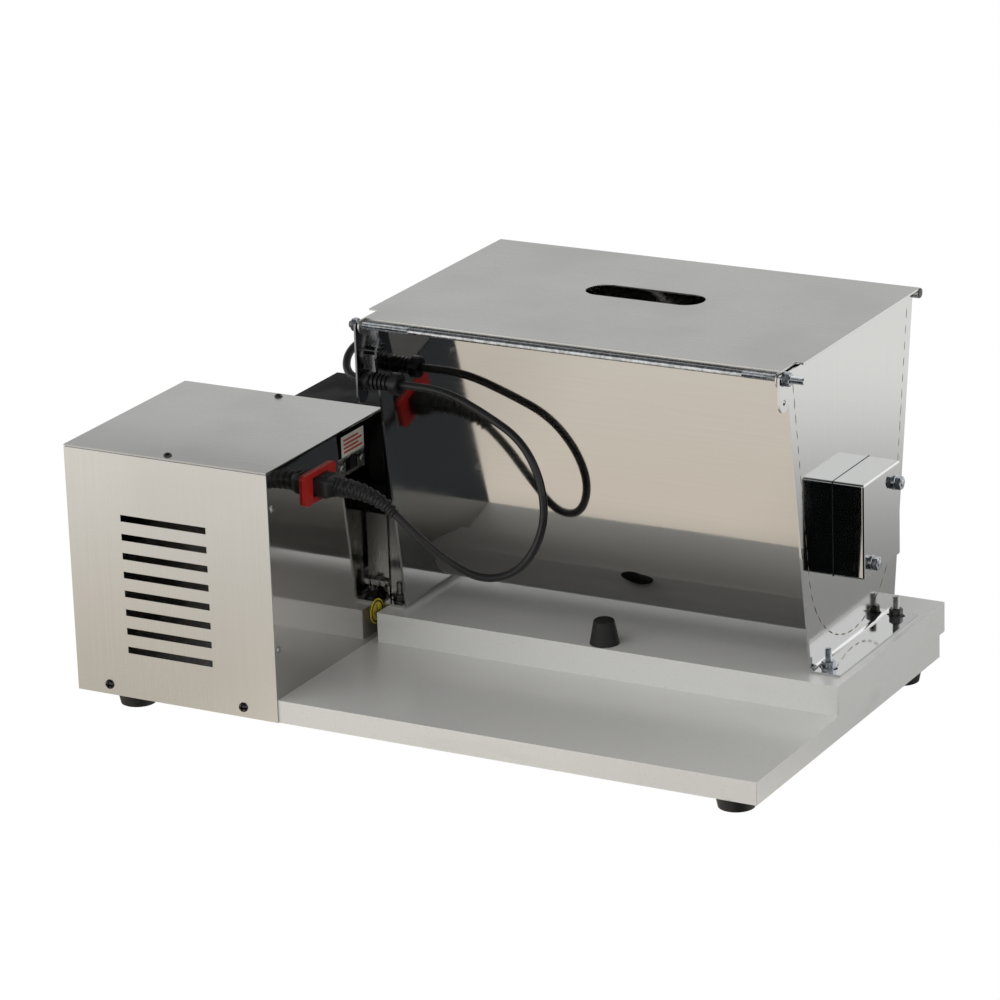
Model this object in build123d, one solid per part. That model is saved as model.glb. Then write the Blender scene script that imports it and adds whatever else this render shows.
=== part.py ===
"""Trough ice machine with a lidded stainless trough, a driven shaft and a motor box.

Millimetres.  X runs along the shaft, from the motor box to the bearing cover.
Y runs from the inlet side to the operator's side.  Z is up from the table.
"""
import math
import os

from build123d import *

# Base
FOOT_H = 10.0
FOOT_R = 15.0
FOOT_TOP_R = 17.0
FOOT_HOLE_R = 5.5
FOOT_PLATE = 4.0
FOOT_XY = [(47.5, 18.0), (47.5, 328.0), (603.5, 17.5), (610.5, 320.0)]
BOARD_L = 629.0
BOARD_D = 358.0
BOARD_T = 19.5
SLAB_X0 = 202.0
SLAB_Y0 = 153.5
SLAB_Y1 = 368.5
SLAB_T = 26.0
BOARD_BOTTOM = FOOT_H
BOARD_TOP = BOARD_BOTTOM + BOARD_T
SLAB_TOP = BOARD_TOP + SLAB_T
EDGE_ROUND = 0.8

# Motor box
SHEET = 1.2
BOX_W = 195.0
BOX_D = 189.0
BOX_TOP = 226.0
LOUVRE_X0 = 52.0
LOUVRE_X1 = 134.5
LOUVRE_H = 5.8
LOUVRE_TOP = 171.3
LOUVRE_PITCH = 16.55
LOUVRE_COUNT = 8
PANEL_FLANGE = 13.0
PANEL_SCREW_X = [31.5, 162.2]
PANEL_SCREW_Z = 18.8
TOP_SCREW_XY = [(96.5, 8.5), (98.0, 181.5)]
RIVET_Y = 6.6
RIVET_Z = [193.7, 72.0]

# Trough
AXIS_Y = 255.5
AXIS_Z = 161.6
PLATE_T = 2.0
PLATE_L_X = 218.6
PLATE_R_X = 594.2
PLATE_TOP = 320.0
PLATE_SLOPE = 0.1575
PLATE_HALF_FOOT = 81.4
FLANGE_W = 26.0
WALL_T = 1.2
WALL_TOP = 311.0
WALL_HALF_TOP = 112.6
WALL_TAPER_DEG = 8.8
BOTTOM_R = 85.0
BOTTOM_Z = 150.0
STUD_Y = [184.0, 318.0]
STUD_OFFSET = 10.5
STUD_R = 3.0

# Lid and hinge
ROD_Y = 129.0
ROD_Z = 317.0
ROD_R = 3.0
ROD_X0 = 203.0
ROD_X1 = 614.0
LUG_R = 8.2
LUG_LOW_Z = 297.4
LID_T = 1.5
LID_Z = 321.0
LID_X0 = 205.0
LID_X1 = 600.0
LID_NECK_X0 = 214.2
LID_NECK_X1 = 593.2
LID_NECK_Y = 157.0
LID_Y0 = 132.2
HEM_LOW_Z = 315.0
LID_Y1 = 389.0
LIP_R = 4.5
SLOT_CENTRE = (398.5, 280.0)
SLOT_LEN = 108.0
SLOT_W = 32.0
EAR_R = 7.5
BRACKET_X = 211.0

# Shaft and bearings
SHAFT_R = 10.0
SHAFT_X0 = 120.0
SHAFT_X1 = 617.0
RUNNING = 0.05
ARM_COUNT = 10
ARM_R = 78.0
COVER_X1 = 624.0
COVER_Y0 = 217.0
COVER_Y1 = 289.0
COVER_Z0 = 124.0
COVER_Z1 = 205.0
COVER_BOLTS = [(278.7, 188.8), (232.3, 134.4)]

# Drive
GEAR_X0 = 108.5
GEAR_X1 = 197.0
GEAR_Y0 = 192.5
GEAR_Y1 = 287.0
GEAR_Z0 = 64.0
GEAR_Z1 = 218.0
GEAR_WALL = 6.0
CAP_X0 = 94.0
WORM_X = 152.0
WORM_Z = 123.1
WHEEL_R = 24.0
WORM_R = 14.3
MOTOR_R = 39.0
MOTOR_Y0 = 44.0
MOTOR_Y1 = 168.0

# Power
INLET_Y = 80.0
INLET_Z = 192.6
INLET_L = 51.0
INLET_H = 26.5
SWITCH_Y = 134.4
SWITCH_Z = 193.7
CORD_R = 3.4

COVER_BOLT_HEAD = 5.5
COVER_WASHER_T = 1.6
SCREW_HEAD_H = 2.6
FRAME_X = (COVER_X1 + COVER_BOLT_HEAD + COVER_WASHER_T) / 2
FRAME_Y = (LID_Y1 - SCREW_HEAD_H) / 2


def box(x0, x1, y0, y1, z0, z1):
    """Block between two corners."""
    block = Box(x1 - x0, y1 - y0, z1 - z0, align=(Align.MIN, Align.MIN, Align.MIN))
    return Pos(x0, y0, z0) * block


def rod_x(x0, x1, y, z, radius):
    """Cylinder along X."""
    return Pos((x0 + x1) / 2, y, z) * Rot(0, 90, 0) * Cylinder(radius, x1 - x0)


def rod_y(y0, y1, x, z, radius):
    """Cylinder along Y."""
    return Pos(x, (y0 + y1) / 2, z) * Rot(90, 0, 0) * Cylinder(radius, y1 - y0)


def rod_z(z0, z1, x, y, radius):
    """Cylinder along Z."""
    return Pos(x, y, (z0 + z1) / 2) * Cylinder(radius, z1 - z0)


def hexagon(across_flats, thickness):
    """Hexagonal block centred on the origin, standing along Z."""
    return extrude(RegularPolygon(across_flats / 2, 6, major_radius=False), thickness / 2, both=True)


def hex_x(x0, x1, y, z, across_flats):
    """Hexagonal block along X."""
    return Pos((x0 + x1) / 2, y, z) * Rot(0, 90, 0) * hexagon(across_flats, x1 - x0)


def hex_z(z0, z1, x, y, across_flats):
    """Hexagonal block along Z."""
    return Pos(x, y, (z0 + z1) / 2) * hexagon(across_flats, z1 - z0)


def profile_x(points, x0, x1):
    """Outline in the Y-Z plane pushed along X."""
    face = make_face(Polyline(*[(x0, y, z) for y, z in points], close=True))
    return extrude(face, amount=x1 - x0, dir=(1, 0, 0))


def save(name, shapes):
    """Write one node, moved so that the frame's origin is under the machine's middle."""
    moved = [Pos(-FRAME_X, -FRAME_Y, 0) * shape for shape in shapes]
    node = moved[0] if len(moved) == 1 else Compound(children=moved)
    node.label = name
    export_step(node, os.path.join("parts", name + ".step"))


os.makedirs("parts", exist_ok=True)

# ---------------------------------------------------------------- base boards and feet
lower_board = box(0, BOARD_L, SHEET, BOARD_D, BOARD_BOTTOM, BOARD_TOP)
upper_board = box(SLAB_X0, BOARD_L, SLAB_Y0, SLAB_Y1, BOARD_TOP, SLAB_TOP)
lower_board = fillet(lower_board.edges().filter_by(Axis.Z), EDGE_ROUND)
upper_board = fillet(upper_board.edges().filter_by(Axis.Z), EDGE_ROUND)

FOOT_SCREW_R = 2.0
FOOT_SCREW_LEN = 14.0
FOOT_SCREW_HEAD_R = 4.5
FOOT_SCREW_HEAD_H = 2.2
FOOT_SEAT_Z = FOOT_H - FOOT_PLATE
feet = []
foot_screws = []
for foot_x, foot_y in FOOT_XY:
    foot = Pos(foot_x, foot_y, FOOT_H / 2) * Cone(FOOT_R, FOOT_TOP_R, FOOT_H)
    foot -= rod_z(0, FOOT_SEAT_Z, foot_x, foot_y, FOOT_HOLE_R)
    foot -= rod_z(0, FOOT_H, foot_x, foot_y, FOOT_SCREW_R + RUNNING)
    feet.append(foot)
    screw = rod_z(FOOT_SEAT_Z, FOOT_H + FOOT_SCREW_LEN, foot_x, foot_y, FOOT_SCREW_R)
    screw += rod_z(FOOT_SEAT_Z - FOOT_SCREW_HEAD_H, FOOT_SEAT_Z, foot_x, foot_y, FOOT_SCREW_HEAD_R)
    foot_screws.append(screw)
    lower_board -= rod_z(BOARD_BOTTOM, FOOT_H + FOOT_SCREW_LEN, foot_x, foot_y, FOOT_SCREW_R)

# ---------------------------------------------------------------- trough shell
taper = math.radians(WALL_TAPER_DEG)


def trough_outline(offset):
    """Half widths and heights of the trough's cross-section, from the near lip round to the far one."""
    radius = BOTTOM_R - offset
    tangent_y = radius * math.cos(taper)
    tangent_z = BOTTOM_Z - radius * math.sin(taper)
    top_y = tangent_y + (WALL_TOP - tangent_z) * math.tan(taper)
    near_top = (0, AXIS_Y - top_y, WALL_TOP)
    near_tangent = (0, AXIS_Y - tangent_y, tangent_z)
    bottom = (0, AXIS_Y, BOTTOM_Z - radius)
    far_tangent = (0, AXIS_Y + tangent_y, tangent_z)
    far_top = (0, AXIS_Y + top_y, WALL_TOP)
    return near_top, near_tangent, bottom, far_tangent, far_top


def trough_section(offset):
    """Closed face of the trough's cross-section."""
    near_top, near_tangent, bottom, far_tangent, far_top = trough_outline(offset)
    edges = [
        Line(near_top, near_tangent),
        ThreePointArc(near_tangent, bottom, far_tangent),
        Line(far_tangent, far_top),
        Line(far_top, near_top),
    ]
    return make_face(edges)


TROUGH_X0 = PLATE_L_X + PLATE_T
TROUGH_LEN = PLATE_R_X - TROUGH_X0
trough_shell = Pos(TROUGH_X0, 0, 0) * extrude(trough_section(0), amount=TROUGH_LEN, dir=(1, 0, 0))
trough_shell -= Pos(TROUGH_X0, 0, 0) * extrude(trough_section(WALL_T), amount=TROUGH_LEN, dir=(1, 0, 0))

# ---------------------------------------------------------------- end plates
PLATE_FOOT_Z = SLAB_TOP
near_foot = AXIS_Y - PLATE_HALF_FOOT
far_foot = AXIS_Y + PLATE_HALF_FOOT
plate_rise = PLATE_TOP - PLATE_FOOT_Z
near_head = near_foot - plate_rise * PLATE_SLOPE
far_head = far_foot + plate_rise * PLATE_SLOPE
CORNER_CUT_Y = 153.0
CORNER_CUT_Z = 286.0
NOSE_Y = 139.2
right_outline = [
    (near_foot, PLATE_FOOT_Z),
    (far_foot, PLATE_FOOT_Z),
    (far_head, PLATE_TOP),
    (near_head, PLATE_TOP),
]
left_outline = [
    (near_foot, PLATE_FOOT_Z),
    (far_foot, PLATE_FOOT_Z),
    (far_head, PLATE_TOP),
    (CORNER_CUT_Y, PLATE_TOP),
    (NOSE_Y, CORNER_CUT_Z),
]
BEARING_HOLE_R = 21.0
SLOT_HALF = 8.0
SLOT_PLAY = 0.8
BEND_R = 3.0
FLANGE_Y0 = near_foot - 2.0
FLANGE_Y1 = far_foot - 9.0
LUG_HOLE_R = 2.4
LID_PLAY = 0.5
LID_SWEEP = 12.0


def foot_flange(x_wall, side, width, stud_x):
    """Foot flange bent outwards from an end plate, with its inner bend and two stud slots."""
    x0, x1 = sorted((x_wall, x_wall + side * width))
    flange = box(x0, x1, FLANGE_Y0, FLANGE_Y1, SLAB_TOP, SLAB_TOP + PLATE_T)
    bend_x = x_wall + side * BEND_R
    bend_z = SLAB_TOP + PLATE_T + BEND_R
    b0, b1 = sorted((x_wall, bend_x))
    bend = box(b0, b1, FLANGE_Y0, FLANGE_Y1, SLAB_TOP, bend_z)
    flange += bend - rod_y(FLANGE_Y0, FLANGE_Y1, bend_x, bend_z, BEND_R)
    for stud_y in STUD_Y:
        slot = extrude(SlotOverall(2 * SLOT_HALF, 2 * STUD_R + SLOT_PLAY), 2 * PLATE_T)
        flange -= Pos(stud_x, stud_y, SLAB_TOP) * slot
    return flange


def bend_waste(x_inside, side):
    """Corner outside the rounded outer edge of a foot flange's bend."""
    bend_x = x_inside + side * (BEND_R + PLATE_T)
    bend_z = SLAB_TOP + PLATE_T + BEND_R
    b0, b1 = sorted((x_inside, bend_x))
    waste = box(b0, b1, FLANGE_Y0, far_foot, SLAB_TOP, bend_z)
    return waste - rod_y(FLANGE_Y0, far_foot, bend_x, bend_z, BEND_R + PLATE_T)


def lug_outline(x0, low_z):
    """Hinge lug: rounded strip round the rod, flat under the lid."""
    lug = rod_x(x0, x0 + PLATE_T, ROD_Y, ROD_Z, LUG_R)
    lug += box(x0, x0 + PLATE_T, ROD_Y - LUG_R, ROD_Y + LUG_R, low_z, ROD_Z)
    lug += rod_x(x0, x0 + PLATE_T, ROD_Y, low_z, LUG_R)
    lug -= rod_x(x0, x0 + PLATE_T, ROD_Y, ROD_Z, ROD_R)
    sweep_y = (ROD_Y - LID_SWEEP, ROD_Y + LID_SWEEP)
    lug -= box(x0, x0 + PLATE_T, *sweep_y, LID_Z - LID_PLAY, LID_Z + LID_SWEEP)
    return lug


LEFT_FLANGE_W = 20.8
LEFT_STUD_X = PLATE_L_X - STUD_OFFSET
RIGHT_STUD_X = PLATE_R_X + PLATE_T + STUD_OFFSET
PLATE_R_OUT = PLATE_R_X + PLATE_T
PLATE_L_IN = PLATE_L_X + PLATE_T
end_plate_right = profile_x(right_outline, PLATE_R_X, PLATE_R_OUT)
end_plate_right += foot_flange(PLATE_R_OUT, 1, FLANGE_W, RIGHT_STUD_X)
end_plate_right -= bend_waste(PLATE_R_X, 1)
end_plate_right -= rod_x(PLATE_R_X, PLATE_R_OUT, ROD_Y, ROD_Z, LUG_R)
end_plate_right += lug_outline(PLATE_R_X, LUG_LOW_Z)
end_plate_right -= rod_x(PLATE_R_X, PLATE_R_OUT, ROD_Y, LUG_LOW_Z, LUG_HOLE_R)
end_plate_right -= rod_x(PLATE_R_X, PLATE_R_OUT, AXIS_Y, AXIS_Z, BEARING_HOLE_R)

BRACKET_RIVET_Y = 143.5
BRACKET_RIVET_Z = 291.0
BRACKET_RIVET_R = 2.0
end_plate_left = profile_x(left_outline, PLATE_L_X, PLATE_L_IN)
end_plate_left += foot_flange(PLATE_L_X, -1, LEFT_FLANGE_W, LEFT_STUD_X)
end_plate_left -= bend_waste(PLATE_L_IN, -1)
end_plate_left -= rod_x(PLATE_L_X, PLATE_L_IN, AXIS_Y, AXIS_Z, BEARING_HOLE_R)
end_plate_left -= rod_x(PLATE_L_X, PLATE_L_IN, BRACKET_RIVET_Y, BRACKET_RIVET_Z, BRACKET_RIVET_R)

STUD_DEPTH = 20.0
STUD_STAND = 19.0
STUD_LOW = SLAB_TOP - STUD_DEPTH
STUD_HIGH = SLAB_TOP + STUD_STAND
NUT_AF = 10.0
NUT_H = 5.0
WASHER_R = 6.2
WASHER_T = 1.2
flange_studs = []
flange_nuts = []
for stud_x in (LEFT_STUD_X, RIGHT_STUD_X):
    for stud_y in STUD_Y:
        flange_studs.append(rod_z(STUD_LOW, STUD_HIGH, stud_x, stud_y, STUD_R))
        upper_board -= rod_z(STUD_LOW, SLAB_TOP, stud_x, stud_y, STUD_R)
        nut_base = SLAB_TOP + PLATE_T
        nut = rod_z(nut_base, nut_base + WASHER_T, stud_x, stud_y, WASHER_R)
        nut += hex_z(nut_base + WASHER_T, nut_base + WASHER_T + NUT_H, stud_x, stud_y, NUT_AF)
        nut -= rod_z(nut_base, nut_base + WASHER_T + NUT_H, stud_x, stud_y, STUD_R)
        flange_nuts.append(nut)

# ---------------------------------------------------------------- hinge rod, nuts, bracket
hinge_rod = rod_x(ROD_X0, ROD_X1, ROD_Y, ROD_Z, ROD_R)
hinge_nuts = []
HINGE_WASHER_X1 = PLATE_R_OUT + WASHER_T
nut_spans = [(BRACKET_X - NUT_H, BRACKET_X), (HINGE_WASHER_X1, HINGE_WASHER_X1 + NUT_H)]
for nut_x0, nut_x1 in nut_spans:
    nut = hex_x(nut_x0, nut_x1, ROD_Y, ROD_Z, NUT_AF)
    nut -= rod_x(nut_x0, nut_x1, ROD_Y, ROD_Z, ROD_R)
    hinge_nuts.append(nut)
washer = rod_x(PLATE_R_OUT, HINGE_WASHER_X1, ROD_Y, ROD_Z, WASHER_R)
washer -= rod_x(PLATE_R_OUT, HINGE_WASHER_X1, ROD_Y, ROD_Z, ROD_R)
hinge_nuts.append(washer)

BRACKET_LOW_Z = 258.0
BRACKET_Y1 = 165.0
BRACKET_TOP = 319.0
SLEEVE_Y = 134.0
SLEEVE_Z = 268.4
SLEEVE_HOLE_R = 6.0
BRACKET_X1 = BRACKET_X + PLATE_T
cord_bracket = box(BRACKET_X, BRACKET_X1, ROD_Y + LUG_R / 2, BRACKET_Y1, BRACKET_LOW_Z, BRACKET_TOP)
cord_bracket += lug_outline(BRACKET_X, BRACKET_LOW_Z)
cord_bracket -= rod_x(BRACKET_X, BRACKET_X1, BRACKET_RIVET_Y, BRACKET_RIVET_Z, BRACKET_RIVET_R)
cord_bracket -= rod_x(BRACKET_X, BRACKET_X1, SLEEVE_Y, SLEEVE_Z, SLEEVE_HOLE_R)

RIVET_SPACER_R = 3.4
RIVET_HEAD_H = 1.5
bracket_rivet = rod_x(BRACKET_X, PLATE_L_IN, BRACKET_RIVET_Y, BRACKET_RIVET_Z, BRACKET_RIVET_R)
rivet_spans = [
    (BRACKET_X - RIVET_HEAD_H, BRACKET_X),
    (BRACKET_X1, PLATE_L_X),
    (PLATE_L_IN, PLATE_L_IN + RIVET_HEAD_H),
]
for rivet_x0, rivet_x1 in rivet_spans:
    bracket_rivet += rod_x(rivet_x0, rivet_x1, BRACKET_RIVET_Y, BRACKET_RIVET_Z, RIVET_SPACER_R)

# ---------------------------------------------------------------- lid
lid = box(LID_X0, LID_X1, LID_NECK_Y, LID_Y1 - LIP_R, LID_Z, LID_Z + LID_T)
lid += box(LID_NECK_X0, LID_NECK_X1, LID_Y0, LID_NECK_Y, LID_Z, LID_Z + LID_T)
slot_cut = extrude(SlotOverall(SLOT_LEN, SLOT_W), 2 * LID_T, both=True)
lid -= Pos(SLOT_CENTRE[0], SLOT_CENTRE[1], LID_Z) * slot_cut
lip = rod_x(LID_X0, LID_X1, LID_Y1 - LIP_R, LID_Z + LID_T - LIP_R, LIP_R)
lip -= rod_x(LID_X0, LID_X1, LID_Y1 - LIP_R, LID_Z + LID_T - LIP_R, LIP_R - WALL_T)
lid += lip
lid += box(LID_NECK_X0, LID_NECK_X1, LID_Y0, LID_Y0 + WALL_T, HEM_LOW_Z, LID_Z)
for ear_x in (LID_NECK_X0, LID_NECK_X1 - LID_T):
    ear = rod_x(ear_x, ear_x + LID_T, ROD_Y, ROD_Z, EAR_R)
    ear += box(ear_x, ear_x + LID_T, ROD_Y, ROD_Y + EAR_R, ROD_Z, LID_Z + LID_T)
    ear -= box(ear_x, ear_x + LID_T, ROD_Y - LID_SWEEP, ROD_Y + LID_SWEEP, LID_Z + LID_T, LID_Z + LID_SWEEP)
    ear -= rod_x(ear_x, ear_x + LID_T, ROD_Y, ROD_Z, ROD_R + RUNNING)
    lid += ear

# ---------------------------------------------------------------- lid bumper
BUMPER_X = 411.5
BUMPER_Y = 167.0
BUMPER_H = 21.0
BUMPER_R = 12.5
BUMPER_TOP_R = 8.6
BUMPER_ROUND = 2.5
lid_bumper = Pos(BUMPER_X, BUMPER_Y, SLAB_TOP + BUMPER_H / 2) * Cone(BUMPER_R, BUMPER_TOP_R, BUMPER_H)
lid_bumper = fillet(lid_bumper.edges().sort_by(Axis.Z)[-1], BUMPER_ROUND)

# ---------------------------------------------------------------- shaft and arms
rotor_shaft = rod_x(SHAFT_X0, SHAFT_X1, AXIS_Y, AXIS_Z, SHAFT_R)
HUB_R = 17.0
HUB_GAP = 8.0
HUB_X0 = PLATE_L_IN + HUB_GAP
HUB_X1 = PLATE_R_X - HUB_GAP
ARM_T = 6.0
ARM_W = 18.0
ARM_SINK = 1.5
ARM_END = 20.0
ARM_TURN = 72.0
ARM_TWIST = 20.0
breaker_arms = rod_x(HUB_X0, HUB_X1, AXIS_Y, AXIS_Z, HUB_R)
breaker_arms -= rod_x(HUB_X0, HUB_X1, AXIS_Y, AXIS_Z, SHAFT_R)
arm_pitch = (HUB_X1 - HUB_X0 - 2 * ARM_END) / (ARM_COUNT - 1)
for index in range(ARM_COUNT):
    arm = box(-ARM_T / 2, ARM_T / 2, -ARM_W / 2, ARM_W / 2, HUB_R - ARM_SINK, ARM_R)
    arm_x = HUB_X0 + ARM_END + index * arm_pitch
    breaker_arms += Pos(arm_x, AXIS_Y, AXIS_Z) * Rot(X=index * ARM_TURN) * Rot(Z=ARM_TWIST) * arm

# ---------------------------------------------------------------- bearings
BEARING_T = 14.0
BEARING_FLANGE_R = 30.0
BEARING_EAR_R = 8.5
COVER_BOLT_R = 3.0
COVER_BOLT_AF = 10.0
COVER_NUT_H = 4.8
COVER_WASHER_R = 6.2
COVER_T = 1.5
COVER_ROUND = 2.0


def bearing(x_wall, side):
    """Oval flange bearing against an end plate, with its collar standing in the plate's hole."""
    x0, x1 = sorted((x_wall, x_wall + side * BEARING_T))
    body = rod_x(x0, x1, AXIS_Y, AXIS_Z, BEARING_FLANGE_R)
    for bolt_y, bolt_z in COVER_BOLTS:
        body += rod_x(x0, x1, bolt_y, bolt_z, BEARING_EAR_R)
    c0, c1 = sorted((x_wall, x_wall - side * PLATE_T))
    body += rod_x(c0, c1, AXIS_Y, AXIS_Z, BEARING_HOLE_R)
    low, high = min(x0, c0), max(x1, c1)
    body -= rod_x(low, high, AXIS_Y, AXIS_Z, SHAFT_R + RUNNING)
    for bolt_y, bolt_z in COVER_BOLTS:
        body -= rod_x(low, high, bolt_y, bolt_z, COVER_BOLT_R)
    return body


bearing_right = bearing(PLATE_R_OUT, 1)
bearing_left = bearing(PLATE_L_X, -1)

bearing_cover = box(PLATE_R_OUT, COVER_X1, COVER_Y0, COVER_Y1, COVER_Z0, COVER_Z1)
bearing_cover = fillet(bearing_cover.edges().filter_by(Axis.X), COVER_ROUND)
bearing_cover = fillet(bearing_cover.faces().sort_by(Axis.X)[-1].edges(), COVER_ROUND)
bearing_cover -= box(
    PLATE_R_OUT,
    COVER_X1 - COVER_T,
    COVER_Y0 + COVER_T,
    COVER_Y1 - COVER_T,
    COVER_Z0 + COVER_T,
    COVER_Z1 - COVER_T,
)
cover_bolts = []
COVER_SEAT_X = COVER_X1 + COVER_WASHER_T
LEFT_SEAT_X = PLATE_L_X - BEARING_T
for bolt_y, bolt_z in COVER_BOLTS:
    bearing_cover -= rod_x(COVER_X1 - COVER_T, COVER_X1, bolt_y, bolt_z, COVER_BOLT_R)
    end_plate_right -= rod_x(PLATE_R_X, PLATE_R_OUT, bolt_y, bolt_z, COVER_BOLT_R)
    bolt = rod_x(PLATE_R_X, COVER_SEAT_X + COVER_BOLT_HEAD, bolt_y, bolt_z, COVER_BOLT_R)
    bolt += rod_x(COVER_X1, COVER_SEAT_X, bolt_y, bolt_z, COVER_WASHER_R)
    bolt += hex_x(COVER_SEAT_X, COVER_SEAT_X + COVER_NUT_H, bolt_y, bolt_z, COVER_BOLT_AF)
    cover_bolts.append(bolt)
    end_plate_left -= rod_x(PLATE_L_X, PLATE_L_IN, bolt_y, bolt_z, COVER_BOLT_R)
    bolt = rod_x(LEFT_SEAT_X, PLATE_L_IN, bolt_y, bolt_z, COVER_BOLT_R)
    bolt += hex_x(LEFT_SEAT_X - COVER_NUT_H, LEFT_SEAT_X, bolt_y, bolt_z, COVER_BOLT_AF)
    cover_bolts.append(bolt)

# ---------------------------------------------------------------- gear unit
GEAR_ROUND = 5.0
CAP_CHAMFER = 2.0
MOTOR_SHAFT_R = 6.0
gear_housing = box(GEAR_X0, GEAR_X1, GEAR_Y0, GEAR_Y1, GEAR_Z0, GEAR_Z1)
gear_housing = fillet(gear_housing.edges().filter_by(Axis.X), GEAR_ROUND)
gear_housing -= box(
    GEAR_X0,
    GEAR_X1 - GEAR_WALL,
    GEAR_Y0 + GEAR_WALL,
    GEAR_Y1 - GEAR_WALL,
    GEAR_Z0 + GEAR_WALL,
    GEAR_Z1 - GEAR_WALL,
)
gear_housing -= rod_x(GEAR_X1 - GEAR_WALL, GEAR_X1, AXIS_Y, AXIS_Z, SHAFT_R + RUNNING)
gear_housing -= rod_y(GEAR_Y0, GEAR_Y0 + GEAR_WALL, WORM_X, WORM_Z, MOTOR_SHAFT_R + RUNNING)
gear_cap = box(CAP_X0, GEAR_X0, GEAR_Y0, GEAR_Y1, GEAR_Z0, GEAR_Z1)
gear_cap = fillet(gear_cap.edges().filter_by(Axis.X), GEAR_ROUND)
gear_cap = chamfer(gear_cap.faces().sort_by(Axis.X)[0].edges(), CAP_CHAMFER)

STAND_T = 2.0
STAND_TOP = 132.0
WING_X1 = 216.0
WING_LOW_Z = 60.0
STAND_Y0 = GEAR_Y0 - STAND_T
STAND_Y1 = GEAR_Y1 + STAND_T
MOTOR_NECK_R = 14.8
NECK_PLAY = 0.2
gear_bracket = box(GEAR_X0, GEAR_X1, STAND_Y0, STAND_Y1, BOARD_TOP, BOARD_TOP + STAND_T)
gear_bracket += box(GEAR_X0, GEAR_X1, STAND_Y0, GEAR_Y0, BOARD_TOP, STAND_TOP)
gear_bracket += box(GEAR_X0, GEAR_X1, GEAR_Y1, STAND_Y1, BOARD_TOP, STAND_TOP)
gear_bracket += box(GEAR_X0, GEAR_X1, GEAR_Y0, GEAR_Y1, GEAR_Z0 - STAND_T, GEAR_Z0)
gear_bracket += box(GEAR_X1, WING_X1, STAND_Y0, GEAR_Y0, WING_LOW_Z, STAND_TOP - STAND_T)
gear_bracket -= rod_y(STAND_Y0, GEAR_Y0, WORM_X, WORM_Z, MOTOR_NECK_R + NECK_PLAY)

# ---------------------------------------------------------------- motor, fan, worm, wheel
MOTOR_ROUND = 4.0
FIN_COUNT = 24
FIN_T = 2.0
FIN_H = 2.4
FIN_END = 8.0
FIN_SINK = 1.0
PAD_HALF = 24.0
PAD_LEN = 12.0
PAD_Y = [MOTOR_Y0 + 22.0, MOTOR_Y1 - 34.0]
PAD_TOP = WORM_Z - MOTOR_R + 9.0
motor = rod_y(MOTOR_Y0, MOTOR_Y1, WORM_X, WORM_Z, MOTOR_R)
motor = fillet(motor.edges().filter_by(GeomType.CIRCLE), MOTOR_ROUND)
motor += rod_y(MOTOR_Y1, GEAR_Y0, WORM_X, WORM_Z, MOTOR_NECK_R)
for index in range(FIN_COUNT):
    fin_y = (MOTOR_Y0 + FIN_END, MOTOR_Y1 - FIN_END)
    fin = box(-FIN_T / 2, FIN_T / 2, *fin_y, MOTOR_R - FIN_SINK, MOTOR_R + FIN_H)
    motor += Pos(WORM_X, 0, WORM_Z) * Rot(Y=index * 360.0 / FIN_COUNT) * fin
for pad_y in PAD_Y:
    motor += box(WORM_X - PAD_HALF, WORM_X + PAD_HALF, pad_y, pad_y + PAD_LEN, BOARD_TOP, PAD_TOP)
motor -= rod_y(MOTOR_Y0, GEAR_Y0, WORM_X, WORM_Z, MOTOR_SHAFT_R + RUNNING)
FAN_Y0 = 20.0
FAN_Y1 = 36.0
FAN_HUB_R = 12.0
FAN_R = 34.0
BLADE_COUNT = 6
BLADE_T = 2.0
BLADE_INSET = 1.0
motor_shaft = rod_y(FAN_Y0, GEAR_Y1 - GEAR_WALL - 1.0, WORM_X, WORM_Z, MOTOR_SHAFT_R)
motor_fan = rod_y(FAN_Y0, FAN_Y1, WORM_X, WORM_Z, FAN_HUB_R)
for index in range(BLADE_COUNT):
    blade = box(
        -BLADE_T / 2,
        BLADE_T / 2,
        FAN_Y0 + BLADE_INSET,
        FAN_Y1 - BLADE_INSET,
        FAN_HUB_R - BLADE_INSET,
        FAN_R,
    )
    motor_fan += Pos(WORM_X, 0, WORM_Z) * Rot(Y=index * 360.0 / BLADE_COUNT) * blade
motor_fan -= rod_y(FAN_Y0, FAN_Y1, WORM_X, WORM_Z, MOTOR_SHAFT_R)
WORM_ROOT_R = 11.0
WORM_END = 14.0
WORM_PITCH = 8.0
WORM_TURNS = 7
THREAD_T = 3.0
worm = rod_y(GEAR_Y0 + WORM_END, GEAR_Y1 - WORM_END, WORM_X, WORM_Z, WORM_ROOT_R)
for index in range(WORM_TURNS):
    thread_y = (GEAR_Y0 + GEAR_Y1) / 2 + (index - WORM_TURNS // 2) * WORM_PITCH
    worm += rod_y(thread_y - THREAD_T / 2, thread_y + THREAD_T / 2, WORM_X, WORM_Z, WORM_R)
worm -= rod_y(GEAR_Y0, GEAR_Y1, WORM_X, WORM_Z, MOTOR_SHAFT_R)
WHEEL_TEETH = 20
WHEEL_ROOT_R = 20.0
WHEEL_HALF = 10.0
TOOTH_T = 3.2
worm_wheel = rod_x(WORM_X - WHEEL_HALF, WORM_X + WHEEL_HALF, AXIS_Y, AXIS_Z, WHEEL_ROOT_R)
for index in range(WHEEL_TEETH):
    tooth = box(-WHEEL_HALF, WHEEL_HALF, -TOOTH_T / 2, TOOTH_T / 2, WHEEL_ROOT_R - 1.0, WHEEL_R)
    worm_wheel += Pos(WORM_X, AXIS_Y, AXIS_Z) * Rot(X=index * 360.0 / WHEEL_TEETH) * tooth
worm_wheel -= rod_x(WORM_X - WHEEL_HALF, WORM_X + WHEEL_HALF, AXIS_Y, AXIS_Z, SHAFT_R)

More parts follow.
